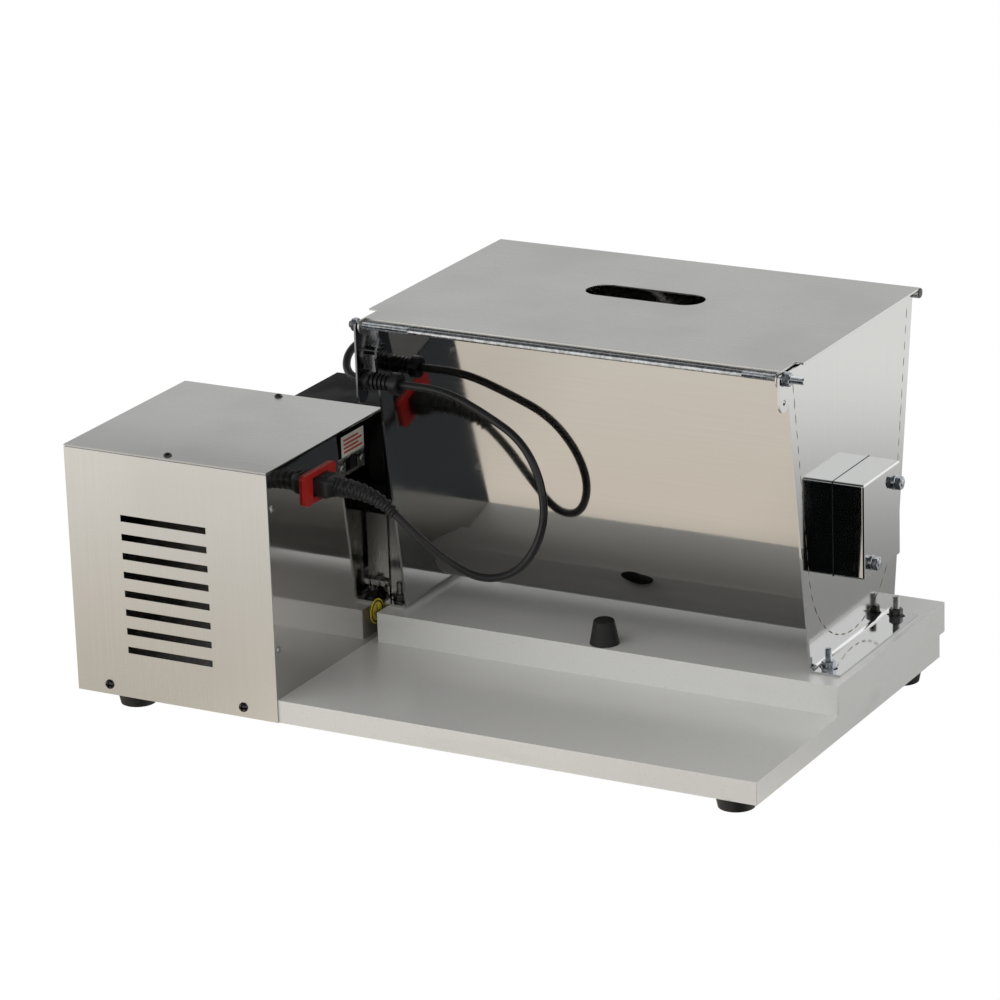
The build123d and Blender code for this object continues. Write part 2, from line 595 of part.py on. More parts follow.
# ---------------------------------------------------------------- motor box panels
COVER_GAP = 0.9
MOTOR_HOLE_R = 20.0
front = box(0, BOX_W, 0, SHEET, BOARD_BOTTOM, BOX_TOP - SHEET - COVER_GAP)
for index in range(LOUVRE_COUNT):
    louvre_top = LOUVRE_TOP - index * LOUVRE_PITCH
    front -= box(LOUVRE_X0, LOUVRE_X1, 0, SHEET, louvre_top - LOUVRE_H, louvre_top)
front += box(SHEET, 2 * SHEET, SHEET, PANEL_FLANGE, BOARD_TOP, BOX_TOP - SHEET)
front += box(BOX_W - 2 * SHEET, BOX_W - SHEET, SHEET, PANEL_FLANGE, BOARD_TOP, BOX_TOP - SHEET)
front += box(2 * SHEET, BOX_W - 2 * SHEET, SHEET, PANEL_FLANGE, BOX_TOP - 2 * SHEET, BOX_TOP - SHEET)
body = box(0, SHEET, SHEET, BOX_D, BOARD_TOP, BOX_TOP - SHEET - COVER_GAP)
body += box(BOX_W - SHEET, BOX_W, SHEET, BOX_D, BOARD_TOP, BOX_TOP - SHEET - COVER_GAP)
body += box(SHEET, BOX_W - SHEET, BOX_D - SHEET, BOX_D, BOARD_TOP, BOX_TOP - SHEET)
body += box(SHEET, BOX_W - SHEET, BOX_D - PANEL_FLANGE, BOX_D - SHEET, BOX_TOP - 2 * SHEET, BOX_TOP - SHEET)
body -= rod_y(BOX_D - SHEET, BOX_D, WORM_X, WORM_Z, MOTOR_HOLE_R)
top_cover = box(0, BOX_W, 0, BOX_D, BOX_TOP - SHEET, BOX_TOP)

SCREW_R = 2.0
SCREW_HEAD_R = 4.2
SCREW_DEPTH = 16.0
TOP_SCREW_DEPTH = 8.0
TOP_SCREW_HEAD_R = 3.6
TOP_SCREW_HEAD_H = 2.2
panel_screws = []
for screw_x in PANEL_SCREW_X:
    front -= rod_y(0, SHEET, screw_x, PANEL_SCREW_Z, SCREW_R)
    lower_board -= rod_y(SHEET, SCREW_DEPTH, screw_x, PANEL_SCREW_Z, SCREW_R)
    screw = rod_y(0, SCREW_DEPTH, screw_x, PANEL_SCREW_Z, SCREW_R)
    screw += rod_y(-SCREW_HEAD_H, 0, screw_x, PANEL_SCREW_Z, SCREW_HEAD_R)
    panel_screws.append(screw)
for screw_x, screw_y in TOP_SCREW_XY:
    hole = rod_z(BOX_TOP - 2 * SHEET, BOX_TOP, screw_x, screw_y, SCREW_R)
    top_cover -= hole
    front -= hole
    body -= hole
    screw = rod_z(BOX_TOP - TOP_SCREW_DEPTH, BOX_TOP, screw_x, screw_y, SCREW_R)
    screw += rod_z(BOX_TOP, BOX_TOP + TOP_SCREW_HEAD_H, screw_x, screw_y, TOP_SCREW_HEAD_R)
    panel_screws.append(screw)

RIVET_R = 1.6
PANEL_RIVET_HEAD_R = 3.2
PANEL_RIVET_HEAD_H = 0.9
panel_rivets = []
for rivet_z in RIVET_Z:
    for x0, x1 in ((BOX_W - 2 * SHEET, BOX_W), (0.0, 2 * SHEET)):
        hole = rod_x(x0, x1, RIVET_Y, rivet_z, RIVET_R)
        front -= hole
        body -= hole
        rivet = hole
        if x1 == BOX_W:
            rivet += rod_x(BOX_W, BOX_W + PANEL_RIVET_HEAD_H, RIVET_Y, rivet_z, PANEL_RIVET_HEAD_R)
        panel_rivets.append(rivet)

# ---------------------------------------------------------------- inlet and connector
INLET_T = 2.6
INLET_DEPTH = 22.0
INLET_ROUND = 4.0
SHELL_HALF_Y = 14.4
SHELL_HALF_Z = 10.4
SHELL_PLAY = 0.1
SOCKET_HALF_Y = 12.1
SOCKET_HALF_Z = 8.3
SOCKET_DEPTH = 16.0
body -= box(
    BOX_W - SHEET,
    BOX_W,
    INLET_Y - SHELL_HALF_Y - SHELL_PLAY,
    INLET_Y + SHELL_HALF_Y + SHELL_PLAY,
    INLET_Z - SHELL_HALF_Z - SHELL_PLAY,
    INLET_Z + SHELL_HALF_Z + SHELL_PLAY,
)


def inlet_block(x0, x1, half_y, half_z):
    """Block centred on the inlet."""
    return box(x0, x1, INLET_Y - half_y, INLET_Y + half_y, INLET_Z - half_z, INLET_Z + half_z)


INLET_FACE_X = BOX_W + INLET_T
inlet = inlet_block(BOX_W, INLET_FACE_X, INLET_L / 2, INLET_H / 2)
inlet = fillet(inlet.edges().filter_by(Axis.X), INLET_ROUND)
inlet += inlet_block(BOX_W - INLET_DEPTH, BOX_W, SHELL_HALF_Y, SHELL_HALF_Z)
inlet -= inlet_block(BOX_W - SOCKET_DEPTH, INLET_FACE_X, SOCKET_HALF_Y, SOCKET_HALF_Z)
BODY_X1 = 214.0
RELIEF_X1 = 248.0
RELIEF_RIBS = 5
RELIEF_R = 8.6
RELIEF_STEP = 0.8
RELIEF_NECK = 1.5
RELIEF_DROP = 1.0
RIB_SHARE = 0.6
BODY_HALF_Y = SOCKET_HALF_Y - SHELL_PLAY
NOSE_HALF_Z = SOCKET_HALF_Z - SHELL_PLAY
BODY_HALF_Z = 8.5
connector = inlet_block(BOX_W - SOCKET_DEPTH + 1.0, INLET_FACE_X, BODY_HALF_Y, NOSE_HALF_Z)
connector += inlet_block(INLET_FACE_X, BODY_X1, BODY_HALF_Y, BODY_HALF_Z)
relief_len = (RELIEF_X1 - BODY_X1) / RELIEF_RIBS
for index in range(RELIEF_RIBS):
    rib_x0 = BODY_X1 + index * relief_len
    rib_x1 = rib_x0 + relief_len * RIB_SHARE
    rib_r = RELIEF_R - RELIEF_STEP * index
    connector += rod_x(rib_x0, rib_x1, INLET_Y, INLET_Z - RELIEF_DROP, rib_r)
    connector += rod_x(rib_x1, rib_x0 + relief_len, INLET_Y, INLET_Z - RELIEF_DROP, rib_r - RELIEF_NECK)

# ---------------------------------------------------------------- slide switch
SWITCH_DEPTH = 12.0
SLIDER_DEPTH = 5.8
SLIDER_SET_BACK = 0.6
SLIDER_HALF_Y = 4.6
SLIDER_HALF_Z = 4.9
SLIDER_Y = SWITCH_Y + 4.8
SWITCH_SCREW_R = 1.5
SWITCH_SCREW_OFFSET = 16.0
SWITCH_HEAD_R = 3.0
SWITCH_HEAD_H = 1.8


def switch_block(x0, x1, centre_y, half_y, half_z):
    """Block at the switch's height."""
    return box(x0, x1, centre_y - half_y, centre_y + half_y, SWITCH_Z - half_z, SWITCH_Z + half_z)


body -= switch_block(BOX_W - SHEET, BOX_W, SWITCH_Y, 10.0, 6.0)
switch_frame = switch_block(BOX_W - SWITCH_DEPTH, BOX_W - SHEET, SWITCH_Y, 21.0, 7.5)
switch_frame -= switch_block(BOX_W - SWITCH_DEPTH / 2, BOX_W - SHEET, SWITCH_Y, 9.5, 5.0)
SLIDER_X = (BOX_W - SLIDER_DEPTH, BOX_W - SLIDER_SET_BACK)
switch_slider = switch_block(*SLIDER_X, SLIDER_Y, SLIDER_HALF_Y, SLIDER_HALF_Z)
switch_screws = []
for screw_y in (SWITCH_Y - SWITCH_SCREW_OFFSET, SWITCH_Y + SWITCH_SCREW_OFFSET):
    hole = rod_x(BOX_W - SWITCH_DEPTH, BOX_W, screw_y, SWITCH_Z, SWITCH_SCREW_R)
    body -= hole
    switch_frame -= hole
    switch_screws.append(hole + rod_x(BOX_W, BOX_W + SWITCH_HEAD_H, screw_y, SWITCH_Z, SWITCH_HEAD_R))

# ---------------------------------------------------------------- label, earth mark, earth stud
LABEL_T = 0.3
LABEL_Y = (120.0, 156.0)
LABEL_Z = (202.3, 220.0)
EARTH_Y = 166.0
EARTH_Z = 52.0
EARTH_R = 11.0
EARTH_STUD_Y = 169.0
EARTH_STUD_Z = 78.0
EARTH_STUD_R = 2.5
EARTH_STUD_IN = 8.0
EARTH_STUD_OUT = 12.0
EARTH_NUT_AF = 8.0
EARTH_NUT_H = 4.0
side_label = box(BOX_W, BOX_W + LABEL_T, *LABEL_Y, *LABEL_Z)
earth_disc = rod_x(BOX_W, BOX_W + LABEL_T, EARTH_Y, EARTH_Z, EARTH_R)
body -= rod_x(BOX_W - SHEET, BOX_W, EARTH_STUD_Y, EARTH_STUD_Z, EARTH_STUD_R)
earth_stud = rod_x(BOX_W - EARTH_STUD_IN, BOX_W + EARTH_STUD_OUT, EARTH_STUD_Y, EARTH_STUD_Z, EARTH_STUD_R)
for nut_x in (BOX_W, BOX_W + EARTH_NUT_H + 1.5):
    earth_stud += hex_x(nut_x, nut_x + EARTH_NUT_H, EARTH_STUD_Y, EARTH_STUD_Z, EARTH_NUT_AF)

# ---------------------------------------------------------------- cord sleeve
SLEEVE_X0 = BRACKET_X - 3.5
SLEEVE_HEAD_R = 8.5
SLEEVE_TUBE_R = 5.6
SLEEVE_TUBE_X0 = PLATE_L_X - 0.5
RIB_X0 = 221.5
SLEEVE_RIBS = 4
SLEEVE_RIB_PITCH = 4.0
SLEEVE_RIB_T = 2.2
SLEEVE_RIB_R = 7.6
SLEEVE_DISC_X0 = 238.0
SLEEVE_X1 = 246.0
SLEEVE_DISC_R = 9.6
SLEEVE_BORE_R = CORD_R + 0.9
sleeve = rod_x(SLEEVE_X0, BRACKET_X, SLEEVE_Y, SLEEVE_Z, SLEEVE_HEAD_R)
sleeve += rod_x(BRACKET_X, BRACKET_X1, SLEEVE_Y, SLEEVE_Z, SLEEVE_HOLE_R)
sleeve += rod_x(BRACKET_X1, SLEEVE_TUBE_X0, SLEEVE_Y, SLEEVE_Z, SLEEVE_HEAD_R)
sleeve += rod_x(SLEEVE_TUBE_X0, SLEEVE_DISC_X0, SLEEVE_Y, SLEEVE_Z, SLEEVE_TUBE_R)
for index in range(SLEEVE_RIBS):
    rib_x = RIB_X0 + index * SLEEVE_RIB_PITCH
    sleeve += rod_x(rib_x, rib_x + SLEEVE_RIB_T, SLEEVE_Y, SLEEVE_Z, SLEEVE_RIB_R)
sleeve += rod_x(SLEEVE_DISC_X0, SLEEVE_X1, SLEEVE_Y, SLEEVE_Z, SLEEVE_DISC_R)
sleeve -= rod_x(SLEEVE_X0, SLEEVE_X1, SLEEVE_Y, SLEEVE_Z, SLEEVE_BORE_R)

# ---------------------------------------------------------------- power cord, its coil and its plug
CORD_ROUTE = [
    (248.0, 80.0, 191.6),
    (274.0, 82.0, 168.1),
    (303.4, 94.0, 136.9),
    (331.7, 109.0, 117.0),
    (362.1, 120.0, 126.7),
    (380.3, 127.0, 163.1),
    (377.7, 130.0, 201.0),
    (359.3, 132.0, 234.6),
    (325.7, 133.0, 252.7),
    (287.0, 133.5, 268.4),
    (246.0, 134.0, 268.2),
    (224.0, 134.2, 268.8),
    (208.0, 134.0, 268.2),
    (197.0, 136.5, 269.6),
    (188.2, 144.0, 274.4),
    (184.0, 156.0, 282.0),
    (184.5, 173.0, 287.0),
    (185.0, 198.0, 282.0),
    (184.0, 230.0, 267.0),
    (182.0, 262.0, 248.0),
    (180.0, 292.0, 226.0),
    (178.0, 312.0, 196.0),
    (175.0, 322.0, 162.0),
    (170.0, 326.0, 126.0),
    (160.0, 328.5, 92.0),
    (144.0, 330.0, 62.0),
    (120.0, 333.0, 42.0),
    (92.0, 336.5, 35.0),
    (66.0, 338.5, 33.6),
]
COIL_X = 54.0
COIL_Y = 302.0
COIL_R = 36.5
COIL_H = 4 * CORD_R
CORNER_SHARE = 0.45
corner_radii = []
for index in range(1, len(CORD_ROUTE) - 1):
    run_in = Vector(*CORD_ROUTE[index]) - Vector(*CORD_ROUTE[index - 1])
    run_out = Vector(*CORD_ROUTE[index + 1]) - Vector(*CORD_ROUTE[index])
    half_turn = math.radians(run_in.get_angle(run_out) / 2)
    corner_radii.append(CORNER_SHARE * min(run_in.length, run_out.length) / math.tan(half_turn))
cord_path = FilletPolyline(*CORD_ROUTE, radius=corner_radii)
first_run = Vector(*CORD_ROUTE[1]) - Vector(*CORD_ROUTE[0])
cord_section = Plane(origin=CORD_ROUTE[0], z_dir=first_run) * Circle(CORD_R)
power_cord = sweep(cord_section, path=cord_path)
coil_ring = Cylinder(COIL_R + 2 * CORD_R, COIL_H) - Cylinder(COIL_R - 2 * CORD_R, COIL_H)
cord_coil = Pos(COIL_X, COIL_Y, BOARD_TOP + COIL_H / 2) * coil_ring

PLUG_X = COIL_X - COIL_R
PLUG_Z = BOARD_TOP + 10.5
PLUG_Y0 = 215.0
PLUG_Y1 = 249.0
PLUG_NECK_Y = COIL_Y - 23.5
PLUG_NECK_R = 4.6
PLUG_HALF_X = 17.0
PLUG_HALF_Z = 10.3
PLUG_ROUND = 6.0
PIN_SPACING = 19.0
PIN_LEN = 19.0
PIN_R = 2.4
PLUG_SPAN_Z = (PLUG_Z - PLUG_HALF_Z, PLUG_Z + PLUG_HALF_Z)
mains_plug = box(PLUG_X - PLUG_HALF_X, PLUG_X + PLUG_HALF_X, PLUG_Y0, PLUG_Y1, *PLUG_SPAN_Z)
mains_plug = fillet(mains_plug.edges().filter_by(Axis.Y), PLUG_ROUND)
mains_plug += rod_y(PLUG_Y1, PLUG_NECK_Y, PLUG_X, PLUG_Z, PLUG_NECK_R)
for pin_x in (PLUG_X - PIN_SPACING / 2, PLUG_X + PIN_SPACING / 2):
    mains_plug += rod_y(PLUG_Y0 - PIN_LEN, PLUG_Y0, pin_x, PLUG_Z, PIN_R)

NODES = {
    "lower_board": lower_board,
    "upper_board": upper_board,
    "feet": feet,
    "foot_screws": foot_screws,
    "trough_shell": trough_shell,
    "end_plate_left": end_plate_left,
    "end_plate_right": end_plate_right,
    "flange_studs": flange_studs,
    "flange_nuts": flange_nuts,
    "lid": lid,
    "hinge_rod": hinge_rod,
    "hinge_nuts": hinge_nuts,
    "cord_bracket": cord_bracket,
    "bracket_rivet": bracket_rivet,
    "lid_bumper": lid_bumper,
    "rotor_shaft": rotor_shaft,
    "breaker_arms": breaker_arms,
    "bearing_left": bearing_left,
    "bearing_right": bearing_right,
    "bearing_cover": bearing_cover,
    "cover_bolts": cover_bolts,
    "box_front_panel": front,
    "box_body": body,
    "box_top_cover": top_cover,
    "panel_screws": panel_screws,
    "panel_rivets": panel_rivets,
    "gear_housing": gear_housing,
    "gear_cap": gear_cap,
    "gear_bracket": gear_bracket,
    "motor": motor,
    "motor_shaft": motor_shaft,
    "motor_fan": motor_fan,
    "worm": worm,
    "worm_wheel": worm_wheel,
    "inlet_flange": inlet,
    "power_connector": connector,
    "switch_frame": switch_frame,
    "switch_slider": switch_slider,
    "switch_screws": switch_screws,
    "side_label": side_label,
    "earth_disc": earth_disc,
    "earth_stud": earth_stud,
    "cord_sleeve": sleeve,
    "power_cord": power_cord,
    "cord_coil": cord_coil,
    "mains_plug": mains_plug,
}
for node_name, node_shape in NODES.items():
    save(node_name, node_shape if isinstance(node_shape, list) else [node_shape])
print("nodes", len(NODES), "frame centre", FRAME_X, FRAME_Y)
print("cord length", cord_path.length)
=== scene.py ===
"""Looks for the trough ice machine: camera, studio, cord, detail pieces and materials."""

import math
import random

import bmesh
import bpy
from mathutils import Matrix, Vector


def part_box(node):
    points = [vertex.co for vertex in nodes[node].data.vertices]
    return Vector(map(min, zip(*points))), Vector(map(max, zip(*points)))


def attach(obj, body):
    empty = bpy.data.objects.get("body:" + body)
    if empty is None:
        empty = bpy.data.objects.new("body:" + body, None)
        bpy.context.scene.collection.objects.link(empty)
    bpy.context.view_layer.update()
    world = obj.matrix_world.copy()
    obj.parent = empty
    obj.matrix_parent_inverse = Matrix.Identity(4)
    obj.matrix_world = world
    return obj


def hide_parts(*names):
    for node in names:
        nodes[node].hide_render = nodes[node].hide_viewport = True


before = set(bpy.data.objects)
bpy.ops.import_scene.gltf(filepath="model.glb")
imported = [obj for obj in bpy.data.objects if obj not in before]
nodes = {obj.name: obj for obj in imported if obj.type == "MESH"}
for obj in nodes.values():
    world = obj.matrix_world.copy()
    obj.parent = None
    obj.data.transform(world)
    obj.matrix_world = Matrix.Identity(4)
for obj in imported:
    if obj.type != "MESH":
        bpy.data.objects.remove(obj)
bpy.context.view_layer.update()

# The machine's drawing frame has its origin under the motor box's near left corner.
SHEET = 0.0012
FOOT_H = 0.010
DRAWING_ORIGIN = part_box("lower_board")[0] - Vector((0.0, SHEET, FOOT_H))


def at(x, y, z):
    """Point of the drawing frame, in metres, as a point of the part's frame."""
    return DRAWING_ORIGIN + Vector((x, y, z))


# ---------------------------------------------------------------- camera
CAMERA_PLACE = at(2.1086, -3.0541, 1.4221)
CAMERA_TURN = math.radians(29.08)
CAMERA_DIP = math.radians(18.80)
CAMERA_ROLL = math.radians(1.905)
CAMERA_LENS = 169.5
SENSOR = 36.0


def make_camera():
    """Long lens from the inlet side, a little above the machine."""
    data = bpy.data.cameras.new("camera")
    data.lens = CAMERA_LENS
    data.sensor_width = SENSOR
    data.clip_start = 0.1
    data.clip_end = 200.0
    camera = bpy.data.objects.new("camera", data)
    bpy.context.scene.collection.objects.link(camera)
    turn = Matrix.Rotation(CAMERA_TURN, 4, "Z")
    dip = Matrix.Rotation(math.pi / 2 - CAMERA_DIP, 4, "X")
    roll = Matrix.Rotation(-CAMERA_ROLL, 4, "Z")
    camera.matrix_world = Matrix.Translation(CAMERA_PLACE) @ turn @ dip @ roll
    bpy.context.scene.camera = camera


make_camera()
bpy.context.scene.view_settings.view_transform = "Standard"

# ---------------------------------------------------------------- cord
CORD_D = 0.0068
CORD_R = CORD_D / 2
CORD_ROUTE = [
    (0.2480, 0.0800, 0.1916),
    (0.2740, 0.0820, 0.1681),
    (0.3034, 0.0940, 0.1369),
    (0.3317, 0.1090, 0.1170),
    (0.3621, 0.1200, 0.1267),
    (0.3803, 0.1270, 0.1631),
    (0.3777, 0.1300, 0.2010),
    (0.3593, 0.1320, 0.2346),
    (0.3257, 0.1330, 0.2527),
    (0.2870, 0.1335, 0.2684),
    (0.2460, 0.1340, 0.2682),
    (0.2240, 0.1342, 0.2688),
    (0.2080, 0.1340, 0.2682),
    (0.1970, 0.1365, 0.2696),
    (0.1882, 0.1440, 0.2744),
    (0.1840, 0.1560, 0.2820),
    (0.1845, 0.1730, 0.2870),
    (0.1850, 0.1980, 0.2820),
    (0.1840, 0.2300, 0.2670),
    (0.1820, 0.2620, 0.2480),
    (0.1800, 0.2920, 0.2260),
    (0.1780, 0.3120, 0.1960),
    (0.1750, 0.3220, 0.1620),
    (0.1700, 0.3260, 0.1260),
    (0.1600, 0.3285, 0.0920),
    (0.1440, 0.3300, 0.0620),
    (0.1200, 0.3330, 0.0420),
    (0.0920, 0.3365, 0.0350),
]
COIL_CENTRE = (0.0540, 0.3020)
COIL_FLOOR = 0.0295
COIL_R = 0.0365
COIL_STEPS = 16
COIL_START = 4
COIL_END = 3 * COIL_STEPS + COIL_STEPS // 2
CORD_END = [(0.0152, 0.2920, 0.0400), (0.0175, 0.2785, 0.0400)]


def coil_points():
    """Control points of the wound turns: two side by side on the board, then the rest on top of them."""
    reach = 1.0 / math.cos(math.pi / COIL_STEPS)
    points = []
    for step in range(COIL_START, COIL_END):
        turn = step / COIL_STEPS
        layer = 1.0 if turn > 2.0 else 0.0
        outward = -1.0 if 1.0 < turn < 3.0 else 1.0
        radius = (COIL_R + outward * CORD_R) * reach
        height = COIL_FLOOR + CORD_R + layer * CORD_D
        angle = turn * 2 * math.pi
        x = COIL_CENTRE[0] + radius * math.cos(angle)
        y = COIL_CENTRE[1] + radius * math.sin(angle)
        points.append((x, y, height))
    return points


def nurbs(name, points, radius):
    """Smooth round-section curve with those control points."""
    data = bpy.data.curves.new(name, "CURVE")
    data.dimensions = "3D"
    data.bevel_depth = 1.0
    data.bevel_resolution = 8
    data.resolution_u = 12
    data.use_fill_caps = True
    spline = data.splines.new("NURBS")
    spline.points.add(len(points) - 1)
    for target, point in zip(spline.points, points):
        target.co = (*at(*point), 1.0)
        target.radius = radius
    spline.order_u = 3
    spline.use_endpoint_u = True
    curve = bpy.data.objects.new(name, data)
    bpy.context.scene.collection.objects.link(curve)
    return curve


cord = nurbs("mains_cord", CORD_ROUTE + coil_points() + CORD_END, CORD_R)
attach(cord, "frame")
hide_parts("power_cord", "cord_coil")


def link_mesh(name, mesh):
    """New object in the scene for a mesh."""
    thing = bpy.data.objects.new(name, mesh)
    bpy.context.scene.collection.objects.link(thing)
    return thing


# ---------------------------------------------------------------- node helper
class Nodes:
    """Short calls for building a node tree."""

    def __init__(self, tree):
        self.tree = tree

    def new(self, kind, **sockets):
        """Node with some of its sockets set or linked; iN means the socket numbered N."""
        node = self.tree.nodes.new(kind)
        for key, value in sockets.items():
            self.set(node, key, value)
        return node

    def set(self, node, key, value):
        """Give a socket a value, or link another node's output to it."""
        numbered = key[0] == "i" and key[1:].isdigit()
        socket = node.inputs[int(key[1:])] if numbered else node.inputs[key.replace("_", " ")]
        if isinstance(value, bpy.types.NodeSocket):
            self.tree.links.new(value, socket)
        else:
            socket.default_value = value

    def math(self, operation, a, b=0.0):
        """One arithmetic step."""
        node = self.tree.nodes.new("ShaderNodeMath")
        node.operation = operation
        self.set(node, "i0", a)
        self.set(node, "i1", b)
        return node.outputs[0]

    def ramp(self, value, low, high, to_low=0.0, to_high=1.0):
        """Smooth change from one level to another, clamped."""
        node = self.tree.nodes.new("ShaderNodeMapRange")
        node.interpolation_type = "SMOOTHSTEP"
        for index, item in enumerate((value, low, high, to_low, to_high)):
            self.set(node, f"i{index}", item)
        return node.outputs[0]

    def mix(self, factor, a, b):
        """Blend of two colours."""
        node = self.tree.nodes.new("ShaderNodeMix")
        node.data_type = "RGBA"
        self.set(node, "i0", factor)
        self.set(node, "i6", a)
        self.set(node, "i7", b)
        return node.outputs[2]

    def place(self, scale=(1.0, 1.0, 1.0), turn=(0.0, 0.0, 0.0)):
        """Object coordinates, stretched and turned."""
        coords = self.tree.nodes.new("ShaderNodeTexCoord")
        mapping = self.new("ShaderNodeMapping", Vector=coords.outputs["Object"], Scale=scale, Rotation=turn)
        return mapping.outputs[0]

    def noise(self, vector, scale, detail=2.0):
        """Noise level, 0 to 1."""
        return self.new("ShaderNodeTexNoise", Vector=vector, Scale=scale, Detail=detail).outputs[0]

    def bump(self, height, distance, normal=None):
        """Surface normal tilted by a height."""
        node = self.new("ShaderNodeBump", Height=height, Strength=1.0, Distance=distance)
        if normal is not None:
            self.set(node, "Normal", normal)
        return node.outputs[0]


# ---------------------------------------------------------------- studio
STAGE_HALF = 30.0
CARD_HALF = 7.5
CARD_DEPTH = 0.0006
BASE_HALF_X = 0.315
BASE_HALF_Y = 0.190
WHITE = (1.0, 1.0, 1.0, 1.0)
NEAR_TINT = (0.70, 0.66, 0.61, 1.0)
MIDDLE_TINT = (0.84, 0.80, 0.745, 1.0)
BEHIND_TINT = (0.34, 0.34, 0.34, 1.0)
BELOW_BACK = (1.10, 1.09, 1.07, 1.0)
BELOW_LEFT = (1.10, 1.06, 1.00, 1.0)
DARK_FAR = (0.005, 0.006, 0.007, 1.0)
DARK_NEAR = (0.075, 0.088, 0.105, 1.0)
FILL_FROM = (-0.30, -0.62, 0.72)
FILL_POWER = 0.95
FILL_SPREAD = math.radians(70)


def new_material(name):
    """Empty node material."""
    material = bpy.data.materials.new(name)
    material.use_nodes = True
    material.node_tree.nodes.clear()
    return material, Nodes(material.node_tree)


def glowing(name):
    """Plain white glow for the studio."""
    material, n = new_material(name)
    glow = n.new("ShaderNodeEmission", Color=WHITE, Strength=1.0)
    n.new("ShaderNodeOutputMaterial", Surface=glow.outputs[0])
    return material


def grid_mesh(name, half):
    """Square of that half side."""
    shape = bmesh.new()
    bmesh.ops.create_grid(shape, x_segments=1, y_segments=1, size=half)
    mesh = bpy.data.meshes.new(name)
    shape.to_mesh(mesh)
    shape.free()
    return mesh


def table_tint():
    """Filter laid under the machine, with painted shade: the table is dimmer and warmer close to it."""
    material, n = new_material("table_tint")
    position = n.new("ShaderNodeNewGeometry").outputs["Position"]
    x, y, _ = n.new("ShaderNodeSeparateXYZ", Vector=position).outputs
    beside = n.math("MAXIMUM", n.math("SUBTRACT", n.math("ABSOLUTE", x), BASE_HALF_X), 0.0)
    before = n.math("MAXIMUM", n.math("SUBTRACT", n.math("ABSOLUTE", y), BASE_HALF_Y), 0.0)
    distance = n.math("SQRT", n.math("ADD", n.math("POWER", beside, 2.0), n.math("POWER", before, 2.0)))
    behind = n.ramp(n.math("ADD", x, y), 0.10, 0.35)
    middle = n.ramp(n.math("ABSOLUTE", n.math("ADD", x, 0.02)), 0.24, 0.10)
    near_front = n.mix(middle, NEAR_TINT, MIDDLE_TINT)
    front_colour = n.mix(n.ramp(distance, 0.02, 0.80), near_front, WHITE)
    behind_colour = n.mix(n.ramp(distance, 0.12, 0.85), BEHIND_TINT, WHITE)
    colour = n.mix(behind, front_colour, behind_colour)
    tint = n.new("ShaderNodeBsdfTransparent", Color=colour)
    n.new("ShaderNodeOutputMaterial", Surface=tint.outputs[0])
    return material


def make_stage():
    """Pale floor and surround that only the camera sees, and the tint that only the machine sees."""
    floor = link_mesh("floor", grid_mesh("floor", STAGE_HALF))
    floor.data.materials.append(glowing("floor_white"))
    shape = bmesh.new()
    bmesh.ops.create_uvsphere(shape, u_segments=48, v_segments=24, radius=STAGE_HALF)
    mesh = bpy.data.meshes.new("surround")
    shape.to_mesh(mesh)
    shape.free()
    surround = link_mesh("surround", mesh)
    surround.data.materials.append(glowing("surround_white"))
    for stage_piece in (floor, surround):
        stage_piece.visible_glossy = False
        stage_piece.visible_diffuse = False
        stage_piece.visible_shadow = False
        stage_piece.visible_transmission = False
    card = link_mesh("table_card", grid_mesh("table_card", CARD_HALF))
    card.location.z = -CARD_DEPTH
    card.data.materials.append(table_tint())
    card.visible_camera = False


def make_world():
    """Light tent: bright low all round, a dark ceiling and a dark corner to the right of the camera."""
    world = bpy.data.worlds.new("studio")
    bpy.context.scene.world = world
    world.use_nodes = True
    tree = world.node_tree
    tree.nodes.clear()
    n = Nodes(tree)
    coords = tree.nodes.new("ShaderNodeTexCoord")
    x, y, z = n.new("ShaderNodeSeparateXYZ", Vector=coords.outputs["Generated"]).outputs
    front = n.ramp(y, 0.25, -0.25)
    right = n.ramp(x, 0.02, 0.14)
    steep = n.ramp(z, -0.40, -0.56)
    dark_corner = n.mix(steep, DARK_FAR, DARK_NEAR)
    below_front = n.mix(right, BELOW_LEFT, dark_corner)
    below = n.mix(front, BELOW_BACK, below_front)
    back_low = n.ramp(x, -0.35, 0.35, 0.66, 1.50)
    back_level = n.math("MULTIPLY", back_low, n.ramp(z, 0.40, 0.95, 1.0, 0.10))
    front_level = n.ramp(z, 0.22, 0.52, 1.05, 0.10)
    front_part = n.math("MULTIPLY", front_level, front)
    back_part = n.math("MULTIPLY", back_level, n.math("SUBTRACT", 1.0, front))
    level = n.math("ADD", front_part, back_part)
    sky = n.new("ShaderNodeCombineColor", Red=level, Green=level, Blue=level)
    colour = n.mix(n.ramp(z, -0.03, 0.03), below, sky.outputs[0])
    background = n.new("ShaderNodeBackground", Color=colour, Strength=1.0)
    n.new("ShaderNodeOutputWorld", Surface=background.outputs[0])


def make_fill():
    """Soft light from the upper front for the boards; it makes no highlight on the steel."""
    data = bpy.data.lights.new("fill", "SUN")
    data.energy = FILL_POWER
    data.angle = FILL_SPREAD
    fill = bpy.data.objects.new("fill", data)
    bpy.context.scene.collection.objects.link(fill)
    fill.rotation_euler = Vector(FILL_FROM).to_track_quat("Z", "Y").to_euler()
    fill.visible_glossy = False


make_stage()
make_world()
make_fill()


